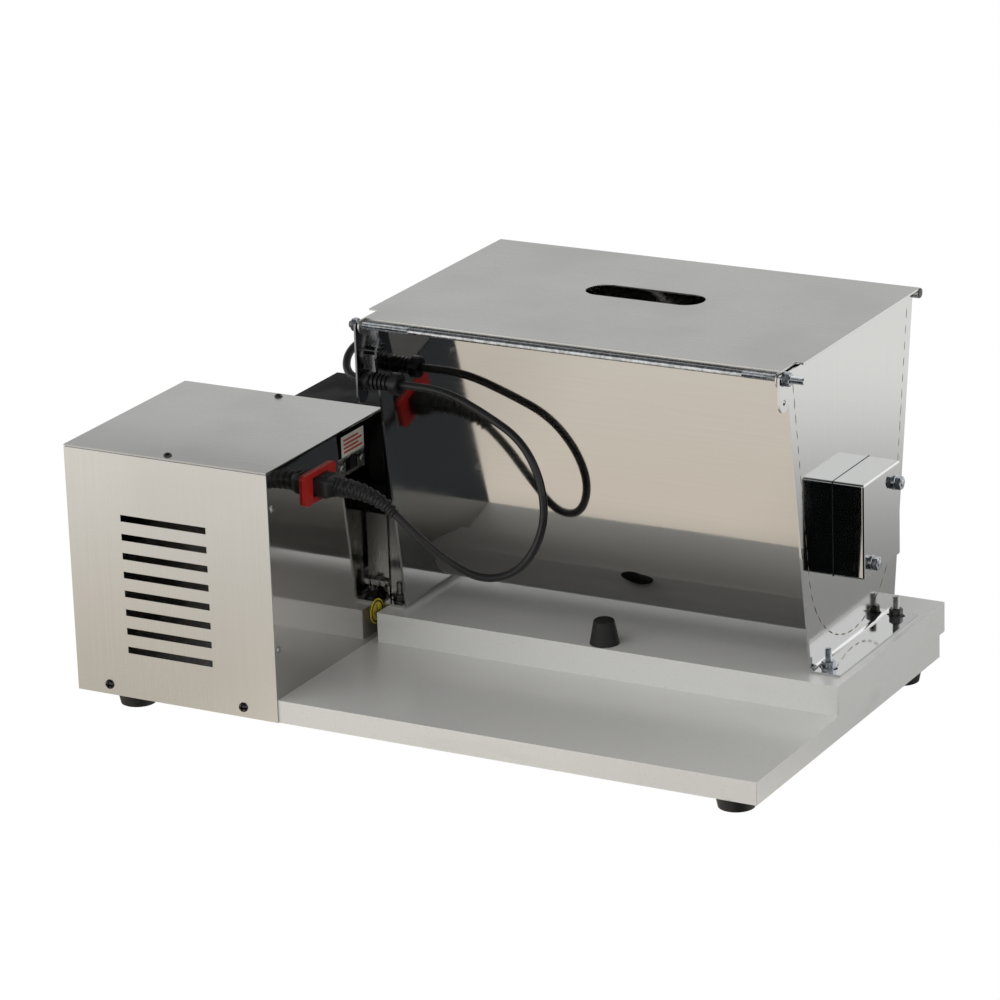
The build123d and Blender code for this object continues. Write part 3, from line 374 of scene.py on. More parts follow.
# ---------------------------------------------------------------- materials
LAMINATE = (0.80, 0.80, 0.775)
LAMINATE_WORN = (0.62, 0.61, 0.58)
LAMINATE_SPECK = (0.55, 0.54, 0.52)
STEEL = (0.57, 0.56, 0.54)
PLATE = (0.56, 0.565, 0.56)
SATIN = (0.60, 0.60, 0.585)
ALONG_X = (8.0, 700.0, 700.0)
ALONG_Z = (700.0, 700.0, 8.0)
ROUND_SHAFT = (900.0, 40.0, 40.0)
PLATING_WORN = 0.62
# Painted shade: the trough steel's colour is darker towards the bottom, down to 0.40 of its level.
TROUGH_PAINTED_SHADE = (2, 0.115, 0.185, 0.40)
# Painted shade: the box top's colour is darker towards its near edge, down to 0.72 of its level.
TOP_PAINTED_SHADE = (1, -0.21, -0.06, 0.72)
STRAW = (0.20, 0.13, 0.07, 1.0)
BLUED = (0.07, 0.06, 0.07, 1.0)


def principled(name, base, roughness, metallic=0.0, **sockets):
    """New material with its node builder and shader; uniform values go straight on the shader."""
    material = bpy.data.materials.new(name)
    material.use_nodes = True
    n = Nodes(material.node_tree)
    shader = material.node_tree.nodes["Principled BSDF"]
    n.set(shader, "Base Color", (*base, 1.0))
    n.set(shader, "Roughness", roughness)
    n.set(shader, "Metallic", metallic)
    for key, value in sockets.items():
        n.set(shader, key, value)
    return material, n, shader


def sheet_steel(name, base, smooth, rough, grain_scale, grain_depth, wave_depth, shade=0.03, painted_shade=None):
    """Stainless sheet: rolled grain, faint waves in the sheet, handling smudges and a few scratches.

    The last argument, (axis, start, end, level), paints shade: the steel's colour is darker towards start,
    by that factor.
    """
    material, n, shader = principled(name, base, smooth, 1.0)
    smudge = n.noise(n.place(), 9.0, 4.0)
    streak = n.noise(n.place(grain_scale), 1.0, 3.0)
    worn = n.math("ADD", n.math("MULTIPLY", smudge, 0.7), n.math("MULTIPLY", streak, 0.3))
    n.set(shader, "Roughness", n.ramp(worn, 0.36, 0.66, smooth, rough))
    low = tuple(level * (1.0 - shade) for level in base)
    colour = n.mix(n.ramp(streak, 0.30, 0.70), (*low, 1.0), (*base, 1.0))
    # Painted shade: the base colour is darkened along one axis, towards start.
    if painted_shade:
        axis, start, end, level = painted_shade
        across = n.new("ShaderNodeSeparateXYZ", Vector=n.place()).outputs[axis]
        shaded_colour = tuple(part * level for part in base)
        colour = n.mix(n.ramp(across, start, end), (*shaded_colour, 1.0), colour)
    n.set(shader, "Base Color", colour)
    waves = n.bump(n.noise(n.place(), 5.0, 1.0), wave_depth)
    scratch_place = n.place((14.0, 14.0, 420.0), (0.5, 0.7, 0.4))
    scratches = n.ramp(n.noise(scratch_place, 1.0, 1.0), 0.74, 0.80)
    height = n.math("ADD", streak, n.math("MULTIPLY", scratches, -0.8))
    n.set(shader, "Normal", n.bump(height, grain_depth, waves))
    return material


def plated(name, base, roughness):
    """Plated steel fasteners: mottled plating, duller in patches."""
    material, n, shader = principled(name, base, roughness, 1.0)
    mottle = n.noise(n.place(), 260.0, 4.0)
    dull = tuple(level * PLATING_WORN for level in base)
    n.set(shader, "Base Color", n.mix(n.ramp(mottle, 0.35, 0.62), (*dull, 1.0), (*base, 1.0)))
    n.set(shader, "Roughness", n.ramp(mottle, 0.3, 0.7, roughness * 0.7, roughness * 1.5))
    n.set(shader, "Normal", n.bump(n.noise(n.place(), 900.0, 2.0), 0.00002))
    return material


def moulded(name, base, roughness, grain, depth, **sockets):
    """Moulded plastic, rubber or enamel: fine surface grain and slightly uneven gloss."""
    material, n, shader = principled(name, base, roughness, **sockets)
    cloud = n.noise(n.place(), 30.0, 3.0)
    pale = tuple(min(1.0, level * 1.25 + 0.002) for level in base)
    n.set(shader, "Base Color", n.mix(n.ramp(cloud, 0.35, 0.70), (*base, 1.0), (*pale, 1.0)))
    n.set(shader, "Roughness", n.ramp(cloud, 0.3, 0.7, roughness * 0.8, roughness * 1.2))
    n.set(shader, "Normal", n.bump(n.noise(n.place(), grain, 3.0), depth))
    return material


def board_material():
    """Pale laminate with a soft sheen, faint speckle, and grey scuffs."""
    coat = {"Coat_Weight": 1.0, "Coat_IOR": 1.6, "Coat_Roughness": 0.22, "Specular_IOR_Level": 0.3}
    material, n, shader = principled("laminate", LAMINATE, 0.45, **coat)
    speckle = n.ramp(n.noise(n.place(), 700.0, 2.0), 0.60, 0.72)
    scuff = n.ramp(n.noise(n.place((1.0, 2.2, 6.0)), 7.0, 5.0), 0.55, 0.80)
    worn = n.mix(n.math("MULTIPLY", scuff, 0.35), (*LAMINATE, 1.0), (*LAMINATE_WORN, 1.0))
    colour = n.mix(n.math("MULTIPLY", speckle, 0.30), worn, (*LAMINATE_SPECK, 1.0))
    n.set(shader, "Base Color", colour)
    n.set(shader, "Roughness", n.ramp(scuff, 0.0, 1.0, 0.42, 0.58))
    n.set(shader, "Normal", n.bump(n.noise(n.place(), 1200.0, 2.0), 0.000012))
    return material


def tinted_weld():
    """Heat tint: straw, brown and blue over steel."""
    material, n, shader = principled("heat_tint", (0.16, 0.10, 0.06), 0.35, 1.0)
    tone = n.noise(n.place(), 120.0, 2.0)
    n.set(shader, "Base Color", n.mix(n.ramp(tone, 0.4, 0.6), STRAW, BLUED))
    n.set(shader, "Normal", n.bump(n.noise(n.place(), 900.0, 2.0), 0.0001))
    return material


mirror_steel = sheet_steel("mirror_steel", STEEL, 0.035, 0.08, ALONG_X, 0.0000004, 0.00035, 0.02)
# The trough steel carries painted shade, darker towards the bottom.
trough_steel = sheet_steel(
    "trough_steel", STEEL, 0.035, 0.08, ALONG_X, 0.0000004, 0.00035, 0.02, painted_shade=TROUGH_PAINTED_SHADE
)
plate_steel = sheet_steel("plate_steel", PLATE, 0.05, 0.12, ALONG_Z, 0.0000005, 0.0003, 0.02)
cover_steel = sheet_steel("cover_steel", PLATE, 0.045, 0.10, ALONG_Z, 0.0000003, 0.0002, 0.02)
# Painted shade: a darkened sheet steel for the cord bracket and its rivet, which stand in shade.
painted_shade_steel = sheet_steel("painted_shade_steel", (0.24, 0.24, 0.25), 0.08, 0.2, ALONG_Z, 0.0000005, 0.0002, 0.03)
# The box top steel carries painted shade, darker towards the near edge.
top_steel = sheet_steel("top_steel", SATIN, 0.22, 0.32, ALONG_X, 0.000004, 0.0004, 0.03, painted_shade=TOP_PAINTED_SHADE)
satin_steel = sheet_steel("satin_steel", SATIN, 0.24, 0.34, ALONG_X, 0.000004, 0.0004)
front_steel = sheet_steel("front_steel", SATIN, 0.24, 0.36, ALONG_Z, 0.000004, 0.0005)
machined = sheet_steel("machined_steel", (0.55, 0.54, 0.52), 0.2, 0.32, ROUND_SHAFT, 0.000006, 0.0)
zinc = plated("zinc", (0.52, 0.52, 0.50), 0.30)
blue_zinc = plated("blue_zinc", (0.50, 0.53, 0.57), 0.24)
rod_zinc = plated("rod_zinc", (0.66, 0.69, 0.72), 0.20)
dark_bolt = plated("blackened_steel", (0.10, 0.10, 0.10), 0.34)
brass = plated("pin_metal", (0.62, 0.56, 0.38), 0.25)
bronze = plated("bronze", (0.50, 0.33, 0.13), 0.32)
rubber = moulded("rubber", (0.014, 0.014, 0.014), 0.55, 500.0, 0.00004, Specular_IOR_Level=0.35)
black_plastic = moulded(
    "black_plastic", (0.012, 0.012, 0.013), 0.36, 1500.0, 0.000012, Specular_IOR_Level=0.4
)
sheath = moulded("cord_sheath", (0.010, 0.010, 0.011), 0.34, 900.0, 0.00001, Specular_IOR_Level=0.45)
enamel = moulded("black_enamel", (0.010, 0.010, 0.010), 0.60, 260.0, 0.00014, Specular_IOR_Level=0.06)
motor_paint = moulded("motor_paint", (0.05, 0.055, 0.065), 0.4, 300.0, 0.00005)
iron = moulded("cast_iron", (0.05, 0.05, 0.052), 0.5, 500.0, 0.00012, Metallic=0.4)
red = moulded("red_plastic", (0.50, 0.022, 0.018), 0.35, 900.0, 0.00001)
yellow = moulded("yellow_vinyl", (0.80, 0.64, 0.06), 0.4, 600.0, 0.000006)
white = moulded("white_vinyl", (0.72, 0.68, 0.60), 0.4, 600.0, 0.000006)
ink = moulded("black_ink", (0.02, 0.02, 0.02), 0.5, 600.0, 0.000004)
red_ink = moulded("red_ink", (0.45, 0.06, 0.04), 0.5, 600.0, 0.000004)
laminate = board_material()
heat_tint = tinted_weld()

FINISH = {
    "lower_board": laminate, "upper_board": laminate, "feet": rubber, "lid_bumper": rubber,
    "lid": satin_steel, "box_top_cover": top_steel,
    "box_front_panel": front_steel, "gear_bracket": front_steel,
    "trough_shell": trough_steel, "end_plate_left": plate_steel, "end_plate_right": plate_steel,
    "bearing_cover": cover_steel, "box_body": mirror_steel,
    "cord_bracket": painted_shade_steel, "bracket_rivet": painted_shade_steel,
    "rotor_shaft": machined, "breaker_arms": machined, "motor_shaft": machined, "worm": machined,
    "worm_wheel": bronze, "bearing_left": iron, "bearing_right": iron,
    "gear_housing": enamel, "gear_cap": enamel, "motor": motor_paint, "motor_fan": black_plastic,
    "inlet_flange": red, "switch_frame": black_plastic, "switch_slider": black_plastic,
    "earth_disc": yellow, "side_label": white,
}
for name, thing in nodes.items():
    thing.data.materials.clear()
    thing.data.materials.append(FINISH.get(name, zinc))
cord.data.materials.append(sheath)

# Folded sheets and boards get the small rounded edges that catch the light.
WELD_DISTANCE = 0.00001
EDGE_ANGLE = math.radians(40)
EDGES = {
    "lower_board": 0.0009, "upper_board": 0.0009, "lid": 0.0005,
    "end_plate_right": 0.0004, "end_plate_left": 0.0004, "cord_bracket": 0.0003, "gear_cap": 0.0008,
}
for name, width in EDGES.items():
    weld = nodes[name].modifiers.new("weld", "WELD")
    weld.merge_threshold = WELD_DISTANCE
    bevel = nodes[name].modifiers.new("edges", "BEVEL")
    bevel.width = width
    bevel.segments = 2
    bevel.limit_method = "ANGLE"
    bevel.angle_limit = EDGE_ANGLE
    bevel.harden_normals = False

# ---------------------------------------------------------------- piece builders
AXES = {
    "+x": Matrix.Rotation(math.pi / 2, 4, "Y"),
    "-x": Matrix.Rotation(-math.pi / 2, 4, "Y"),
    "-y": Matrix.Rotation(math.pi / 2, 4, "X"),
    "+z": Matrix.Identity(4),
}
NUT_STEPS = 48
NUT_CHAMFER = 0.45
NUT_FACE_MARGIN = 1.01
THREAD_PITCH = 0.001
THREAD_DEPTH = 0.00045
CROSS_RINGS = 18
CROSS_STEPS = 56
CROSS_REACH = 0.66
CROSS_HALF_WIDTH = 0.16
CROSS_SIDE_SLOPE = 0.05
CROSS_END_SLOPE = 0.08
DOME_POWER = 2.4
SMOOTH_ANGLE = math.radians(34)
PIECE_BEVEL_ANGLE = math.radians(35)


def facing(point, direction):
    """Transform that puts a shape built along +Z at a drawing-frame point, facing a direction."""
    return Matrix.Translation(at(*point)) @ AXES[direction]


def around(steps):
    """Angles of even steps round a circle."""
    return [2 * math.pi * step / steps for step in range(steps)]


def rim_vertex(shape, transform, radius, angle, height):
    """Vertex at that radius, angle and height about the transform's axis."""
    return shape.verts.new(transform @ Vector((radius * math.cos(angle), radius * math.sin(angle), height)))


def bridge(shape, rings):
    """Faces between each ring of vertices and the next one."""
    for lower, upper in zip(rings, rings[1:]):
        for step in range(len(lower)):
            following = (step + 1) % len(lower)
            shape.faces.new((lower[step], lower[following], upper[following], upper[step]))


def cap(shape, rings):
    """Faces that close the first and the last ring."""
    shape.faces.new(rings[0])
    shape.faces.new(rings[-1])


def add_lathe(shape, profile, transform, segments=40):
    """Solid of revolution through (radius, height) points; a radius of 0 is a single point."""
    rings = []
    for radius, height in profile:
        if radius == 0.0:
            rings.append([shape.verts.new(transform @ Vector((0.0, 0.0, height)))])
        else:
            rings.append([rim_vertex(shape, transform, radius, angle, height) for angle in around(segments)])
    for lower, upper in zip(rings, rings[1:]):
        if len(lower) == len(upper):
            bridge(shape, [lower, upper])
            continue
        for step in range(segments):
            following = (step + 1) % segments
            if len(lower) == 1:
                shape.faces.new((lower[0], upper[following], upper[step]))
            else:
                shape.faces.new((lower[step], lower[following], upper[0]))


def add_nut(shape, transform, across_flats, low, high, bore):
    """Hexagonal nut with chamfered corners at both ends and a bore."""
    half_flat = across_flats / 2
    corner = across_flats / math.sqrt(3)
    chamfer = (corner - half_flat) * NUT_CHAMFER
    face_limit = half_flat * NUT_FACE_MARGIN
    levels = [(low, face_limit), (low + chamfer, corner), (high - chamfer, corner), (high, face_limit)]
    rings = []
    for height, limit in levels:
        ring = []
        for angle in around(NUT_STEPS):
            local = (angle + math.pi / 6) % (math.pi / 3) - math.pi / 6
            radius = min(half_flat / math.cos(local), limit)
            ring.append(rim_vertex(shape, transform, radius, angle, height))
        rings.append(ring)
    for height in (high, low):
        rings.append([rim_vertex(shape, transform, bore, angle, height) for angle in around(NUT_STEPS)])
    bridge(shape, rings + rings[:1])


def thread_profile(radius, low, high):
    """Profile of a threaded rod with chamfered ends."""
    end_radius = radius - THREAD_DEPTH * 1.5
    profile = [(0.0, low), (end_radius, low)]
    for turn in range(int((high - low) / THREAD_PITCH)):
        base = low + turn * THREAD_PITCH
        profile.append((radius, base + THREAD_PITCH * 0.5))
        profile.append((radius - THREAD_DEPTH, base + THREAD_PITCH * 0.95))
    return profile + [(end_radius, high), (0.0, high)]


def add_cross_head(shape, transform, radius, height, depth):
    """Domed screw head with a cross recess."""
    grid = []
    for ring in range(1, CROSS_RINGS + 1):
        share = ring / CROSS_RINGS
        row = []
        for angle in around(CROSS_STEPS):
            u = share * math.cos(angle)
            v = share * math.sin(angle)
            z = height * math.sqrt(max(0.0, 1.0 - share ** DOME_POWER))
            arm = min(abs(u), abs(v))
            if share < CROSS_REACH and arm < CROSS_HALF_WIDTH:
                side_slope = min(1.0, (CROSS_HALF_WIDTH - arm) / CROSS_SIDE_SLOPE)
                z -= depth * side_slope * min(1.0, (CROSS_REACH - share) / CROSS_END_SLOPE)
            row.append(shape.verts.new(transform @ Vector((radius * u, radius * v, z))))
        grid.append(row)
    centre = shape.verts.new(transform @ Vector((0.0, 0.0, height - depth)))
    base = shape.verts.new(transform @ Vector((0.0, 0.0, 0.0)))
    for step in range(CROSS_STEPS):
        following = (step + 1) % CROSS_STEPS
        shape.faces.new((centre, grid[0][step], grid[0][following]))
        for inner, outer in zip(grid, grid[1:]):
            shape.faces.new((inner[step], outer[step], outer[following], inner[following]))
        shape.faces.new((base, grid[-1][following], grid[-1][step]))


def add_tube(shape, points, radii, segments=28):
    """Tube along a line of drawing-frame points, with its own radius at each."""
    path = [at(*point) for point in points]
    side = Vector((0.0, 1.0, 0.0))
    rings = []
    for index, centre in enumerate(path):
        ahead = path[min(index + 1, len(path) - 1)] - path[max(index - 1, 0)]
        ahead.normalize()
        across = (side - ahead * side.dot(ahead)).normalized()
        other = ahead.cross(across)
        ring = []
        for angle in around(segments):
            outward = across * math.cos(angle) + other * math.sin(angle)
            ring.append(shape.verts.new(centre + outward * radii[index]))
        rings.append(ring)
    bridge(shape, rings)
    cap(shape, rings)


def signed_power(value, power):
    """Power of a value's size, with its sign kept."""
    return math.copysign(abs(value) ** power, value)


def add_moulded_body(shape, stations, half_wide, half_tall, squareness, segments, place):
    """Body through rounded oblong sections; place(station, u, v) gives a point of a section."""
    rings = []
    for station, wide, tall in stations:
        ring = []
        for angle in around(segments):
            u = half_wide * wide * signed_power(math.cos(angle), squareness)
            v = half_tall * tall * signed_power(math.sin(angle), squareness)
            ring.append(shape.verts.new(place(station, u, v)))
        rings.append(ring)
    bridge(shape, rings)
    cap(shape, rings)


def add_block(shape, low, high):
    """Block between two drawing-frame corners."""
    for vert in bmesh.ops.create_cube(shape, size=1.0)["verts"]:
        corner = [high[axis] if vert.co[axis] > 0 else low[axis] for axis in range(3)]
        vert.co = at(*corner)


def piece(name, shape, material, body="frame", replaced=(), bevel=0.0):
    """Finish a mesh piece: normals, shading, material, body and the CAD nodes it replaces."""
    bmesh.ops.recalc_face_normals(shape, faces=shape.faces)
    mesh = bpy.data.meshes.new(name)
    shape.to_mesh(mesh)
    shape.free()
    thing = link_mesh(name, mesh)
    mesh.materials.append(material)
    if bevel:
        modifier = thing.modifiers.new("edges", "BEVEL")
        modifier.width = bevel
        modifier.segments = 3
        modifier.limit_method = "ANGLE"
        modifier.angle_limit = PIECE_BEVEL_ANGLE
    for face in mesh.polygons:
        face.use_smooth = True
    mesh.set_sharp_from_angle(angle=SMOOTH_ANGLE)
    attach(thing, body)
    if replaced:
        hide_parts(*replaced)
    return thing


# ---------------------------------------------------------------- fasteners
NUT_AF = 0.010
NUT_H = 0.005
THREAD_STEPS = 24
STUD_R = 0.003
NUT_BORE = STUD_R - 0.0003
STUD_X = (0.2081, 0.6067)
STUD_Y = (0.184, 0.318)
FLANGE_TOP = 0.0575
STUD_LOW = 0.0355
STUD_HIGH = 0.0745
WASHER_R = 0.0062
WASHER_TOP = FLANGE_TOP + 0.0012
FOOT_WASHER = [
    (STUD_R, FLANGE_TOP), (WASHER_R, FLANGE_TOP), (WASHER_R, WASHER_TOP - 0.0002),
    (WASHER_R - 0.0003, WASHER_TOP), (STUD_R, WASHER_TOP),
]
ROD_R = 0.003
ROD_PLAIN_R = ROD_R - 0.0002
ROD_SPAN = (0.203, 0.614)
THREAD_IN = (0.259, 0.561)
THREAD_RUNOUT = 0.0006
HINGE_AXIS = (0.129, 0.317)
HINGE_LEFT_NUT = (0.206, 0.211)
HINGE_WASHER_X = (0.5962, 0.5974)
HINGE_WASHER = [
    (ROD_R, HINGE_WASHER_X[0]), (WASHER_R, HINGE_WASHER_X[0]),
    (WASHER_R, HINGE_WASHER_X[1]), (ROD_R, HINGE_WASHER_X[1]),
]
COVER_X1 = 0.624
BEARING_X0 = 0.2046
COVER_BOLT_YZ = ((0.2787, 0.1888), (0.2323, 0.1344))
COVER_NUT_H = 0.0048
COVER_WASHER_T = 0.0016
COVER_WASHER = [
    (0.0, 0.0), (WASHER_R, 0.0), (WASHER_R, COVER_WASHER_T - 0.0003),
    (WASHER_R - 0.0004, COVER_WASHER_T), (0.0, COVER_WASHER_T),
]
COVER_BOLT_SPAN = (-0.026, COVER_WASHER_T + 0.0055)
LEFT_BOLT = [(0.0, -0.016), (STUD_R, -0.016), (STUD_R, COVER_NUT_H), (0.0, 0.0052)]
PANEL_SCREWS = (
    ((0.0315, 0.0, 0.0188), "-y", 0.0042, 0.0026),
    ((0.1622, 0.0, 0.0188), "-y", 0.0042, 0.0026),
    ((0.0965, 0.0085, 0.226), "+z", 0.0036, 0.0022),
    ((0.098, 0.1815, 0.226), "+z", 0.0036, 0.0022),
)
PANEL_SCREW_RECESS = 0.75
PANEL_SHANK = [(0.0, -0.008), (0.002, -0.007), (0.002, 0.0), (0.0, 0.0)]
SWITCH_SCREWS = ((0.195, 0.1184, 0.1937), (0.195, 0.1504, 0.1937))
SWITCH_HEAD = {"radius": 0.003, "height": 0.0018, "depth": 0.0013}
SWITCH_SHANK = [(0.0, -0.012), (0.0015, -0.011), (0.0015, 0.0), (0.0, 0.0)]
BOX_RIVETS = (
    ((0.195, 0.0066, 0.1937), "+x"), ((0.195, 0.0066, 0.0720), "+x"),
    ((0.0, 0.0066, 0.1937), "-x"), ((0.0, 0.0066, 0.0720), "-x"),
)
RIVET_DOME = [
    (0.0, -0.0020), (0.0016, -0.0020), (0.0016, 0.0), (0.0032, 0.0), (0.0030, 0.0005),
    (0.0022, 0.0009), (0.0010, 0.0011), (0.0008, 0.0006), (0.0, 0.0006),
]


def make_foot_fasteners():
    """Threaded studs with a washer and nut each, on the foot flanges; one set is brighter."""
    for side_name, stud_x in zip(("left", "right"), STUD_X):
        for end_name, stud_y in zip(("near", "far"), STUD_Y):
            bright = side_name == "right" and end_name == "near"
            name = f"{side_name}_{end_name}"
            base = facing((stud_x, stud_y, 0.0), "+z")
            shape = bmesh.new()
            add_lathe(shape, thread_profile(STUD_R, STUD_LOW, STUD_HIGH), base, THREAD_STEPS)
            piece(name + "_stud", shape, blue_zinc if bright else zinc)
            shape = bmesh.new()
            add_lathe(shape, FOOT_WASHER + FOOT_WASHER[:1], base)
            add_nut(shape, base, NUT_AF, WASHER_TOP, WASHER_TOP + NUT_H, NUT_BORE)
            piece(name + "_nut", shape, blue_zinc if bright else dark_bolt)
    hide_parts("flange_studs")
    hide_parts("flange_nuts")


def make_hinge_rod():
    """Rod threaded at both ends, with its nuts and washer."""
    rod = facing((0.0, *HINGE_AXIS), "+x")
    profile = thread_profile(ROD_R, ROD_SPAN[0], THREAD_IN[0])[:-1]
    profile.append((ROD_PLAIN_R, THREAD_IN[0] + THREAD_RUNOUT))
    profile.append((ROD_PLAIN_R, THREAD_IN[1] - THREAD_RUNOUT))
    profile += thread_profile(ROD_R, THREAD_IN[1], ROD_SPAN[1])[1:]
    shape = bmesh.new()
    add_lathe(shape, profile, rod, THREAD_STEPS)
    piece("hinge_rod_threaded", shape, rod_zinc, replaced=("hinge_rod",))
    shape = bmesh.new()
    add_nut(shape, rod, NUT_AF, *HINGE_LEFT_NUT, NUT_BORE)
    add_nut(shape, rod, NUT_AF, HINGE_WASHER_X[1], HINGE_WASHER_X[1] + NUT_H, NUT_BORE)
    add_lathe(shape, HINGE_WASHER + HINGE_WASHER[:1], rod)
    piece("hinge_rod_nuts", shape, blue_zinc, replaced=("hinge_nuts",))


def make_cover_nuts():
    """Bolts through both bearings, with nuts on the outside."""
    shape = bmesh.new()
    for bolt_yz in COVER_BOLT_YZ:
        right = facing((COVER_X1, *bolt_yz), "+x")
        add_lathe(shape, COVER_WASHER, right)
        add_nut(shape, right, NUT_AF, COVER_WASHER_T, COVER_WASHER_T + COVER_NUT_H, NUT_BORE)
        add_lathe(shape, thread_profile(STUD_R, *COVER_BOLT_SPAN), right, THREAD_STEPS)
        left = facing((BEARING_X0, *bolt_yz), "-x")
        add_nut(shape, left, NUT_AF, 0.0, COVER_NUT_H, NUT_BORE)
        add_lathe(shape, LEFT_BOLT, left, THREAD_STEPS)
    piece("cover_nuts", shape, blue_zinc, replaced=("cover_bolts",))


def make_box_fasteners():
    """Cross-head screws of the motor box and the switch, and the box's rivets."""
    shape = bmesh.new()
    for point, direction, radius, height in PANEL_SCREWS:
        head = facing(point, direction)
        add_cross_head(shape, head, radius, height, height * PANEL_SCREW_RECESS)
        add_lathe(shape, PANEL_SHANK, head, 20)
    piece("panel_cross_screws", shape, dark_bolt, replaced=("panel_screws",))
    shape = bmesh.new()
    for point in SWITCH_SCREWS:
        head = facing(point, "+x")
        add_cross_head(shape, head, **SWITCH_HEAD)
        add_lathe(shape, SWITCH_SHANK, head, 16)
    piece("switch_cross_screws", shape, zinc, replaced=("switch_screws",))
    shape = bmesh.new()
    for point, direction in BOX_RIVETS:
        add_lathe(shape, RIVET_DOME, facing(point, direction), 32)
    piece("domed_rivets", shape, zinc, replaced=("panel_rivets",))


make_foot_fasteners()
make_hinge_rod()
make_cover_nuts()
make_box_fasteners()


# ---------------------------------------------------------------- switch, label and earth mark
BOX_W = 0.195
SWITCH_CENTRE = (0.1344, 0.1937)
BEZEL_T = 0.0008
BEZEL_SIDES = (
    (-0.021, 0.021, 0.0062, 0.0080), (-0.021, 0.021, -0.0080, -0.0062),
    (-0.021, -0.0102, -0.0062, 0.0062), (0.0102, 0.021, -0.0062, 0.0062),
)
LABEL_X = (BOX_W + 0.0003, BOX_W + 0.0004)
LABEL_Y = (0.1230, 0.1530)
LABEL_Z0 = 0.2050
LABEL_BARS = 4
LABEL_PITCH = 0.0034
LABEL_BAR_H = 0.0018
LABEL_SHORTER = 0.006
EARTH_CENTRE = (0.166, 0.052)
EARTH_X = (BOX_W + 0.0003, BOX_W + 0.00042)
EARTH_RING = [(0.0082, 0.0003), (0.0096, 0.0003), (0.0096, 0.00042), (0.0082, 0.00042)]
EARTH_HALF_LINE = 0.0004
EARTH_STEM_H = 0.0058
EARTH_BARS = ((0.0055, -0.0005), (0.0037, -0.0025), (0.0018, -0.0045))


def make_markings():
    """Bezel of the slide switch, plain bars on the label, and the generic earth mark."""
    shape = bmesh.new()
    centre_y, centre_z = SWITCH_CENTRE
    for low_y, high_y, low_z, high_z in BEZEL_SIDES:
        low = (BOX_W, centre_y + low_y, centre_z + low_z)
        add_block(shape, low, (BOX_W + BEZEL_T, centre_y + high_y, centre_z + high_z))
    piece("switch_bezel", shape, zinc, bevel=0.0002)
    shape = bmesh.new()
    for line in range(LABEL_BARS):
        low_z = LABEL_Z0 + line * LABEL_PITCH
        end_y = LABEL_Y[1] - (LABEL_SHORTER if line % 2 else 0.0)
        add_block(shape, (LABEL_X[0], LABEL_Y[0], low_z), (LABEL_X[1], end_y, low_z + LABEL_BAR_H))
    piece("label_bars", shape, red_ink)
    shape = bmesh.new()
    centre_y, centre_z = EARTH_CENTRE
    add_lathe(shape, EARTH_RING + EARTH_RING[:1], facing((BOX_W, *EARTH_CENTRE), "+x"), 48)
    for half, drop in EARTH_BARS:
        low = (EARTH_X[0], centre_y - half, centre_z + drop - EARTH_HALF_LINE)
        add_block(shape, low, (EARTH_X[1], centre_y + half, centre_z + drop + EARTH_HALF_LINE))
    low = (EARTH_X[0], centre_y - EARTH_HALF_LINE, centre_z)
    add_block(shape, low, (EARTH_X[1], centre_y + EARTH_HALF_LINE, centre_z + EARTH_STEM_H))
    piece("earth_symbol", shape, ink)


make_markings()


# ---------------------------------------------------------------- connector, its relief and the sleeve
INLET = (0.080, 0.1926)
CONNECTOR_STEPS = 40
CONNECTOR_HALF = (0.0120, 0.0082)
CONNECTOR_SQUARE = 0.35
CONNECTOR_STATIONS = (
    (0.180, 1.0, 1.0), (0.1985, 1.0, 1.0), (0.1990, 1.02, 1.04),
    (0.2085, 1.02, 1.06), (0.2125, 0.90, 0.92), (0.2150, 0.72, 0.86),
)
GRIP_X0 = 0.2005
GRIP_PITCH = 0.0021
GRIP_SIZE = (0.0010, 0.0085, 0.0006)
GRIP_Z = (INLET[1] + 0.0086, INLET[1] - 0.0092)
RELIEF_PATH = (
    (0.212, 0.0800, 0.1926), (0.224, 0.0800, 0.1922), (0.236, 0.0801, 0.1908),
    (0.247, 0.0803, 0.1876), (0.258, 0.0808, 0.1822), (0.266, 0.0813, 0.1753),
)
RELIEF_STEPS = 60
RELIEF_R = 0.0088
RELIEF_TAPER = 0.0037
RELIEF_GROOVE = 0.0011
SLEEVE_AXIS = (0.134, 0.2684)
SLEEVE_BORE = CORD_R + 0.0009
SLEEVE_COLLAR = [
    (SLEEVE_BORE, 0.2075), (0.0072, 0.2075), (0.0085, 0.2085), (0.0085, 0.211), (0.006, 0.211),
    (0.006, 0.213), (0.0085, 0.213), (0.0085, 0.2170), (0.0072, 0.2181),
]
SLEEVE_TAIL = [
    (0.0056, 0.2380), (0.0084, 0.2384), (0.0095, 0.2392), (0.0095, 0.2448), (0.0085, 0.246),
    (SLEEVE_BORE, 0.246),
]
SLEEVE_RIBS = 5
SLEEVE_RIB_X0 = 0.2190
SLEEVE_RIB_PITCH = 0.0038
SLEEVE_RIB_R = 0.0074
SLEEVE_RIB_TAPER = 0.0002
SLEEVE_GROOVE_R = 0.0054


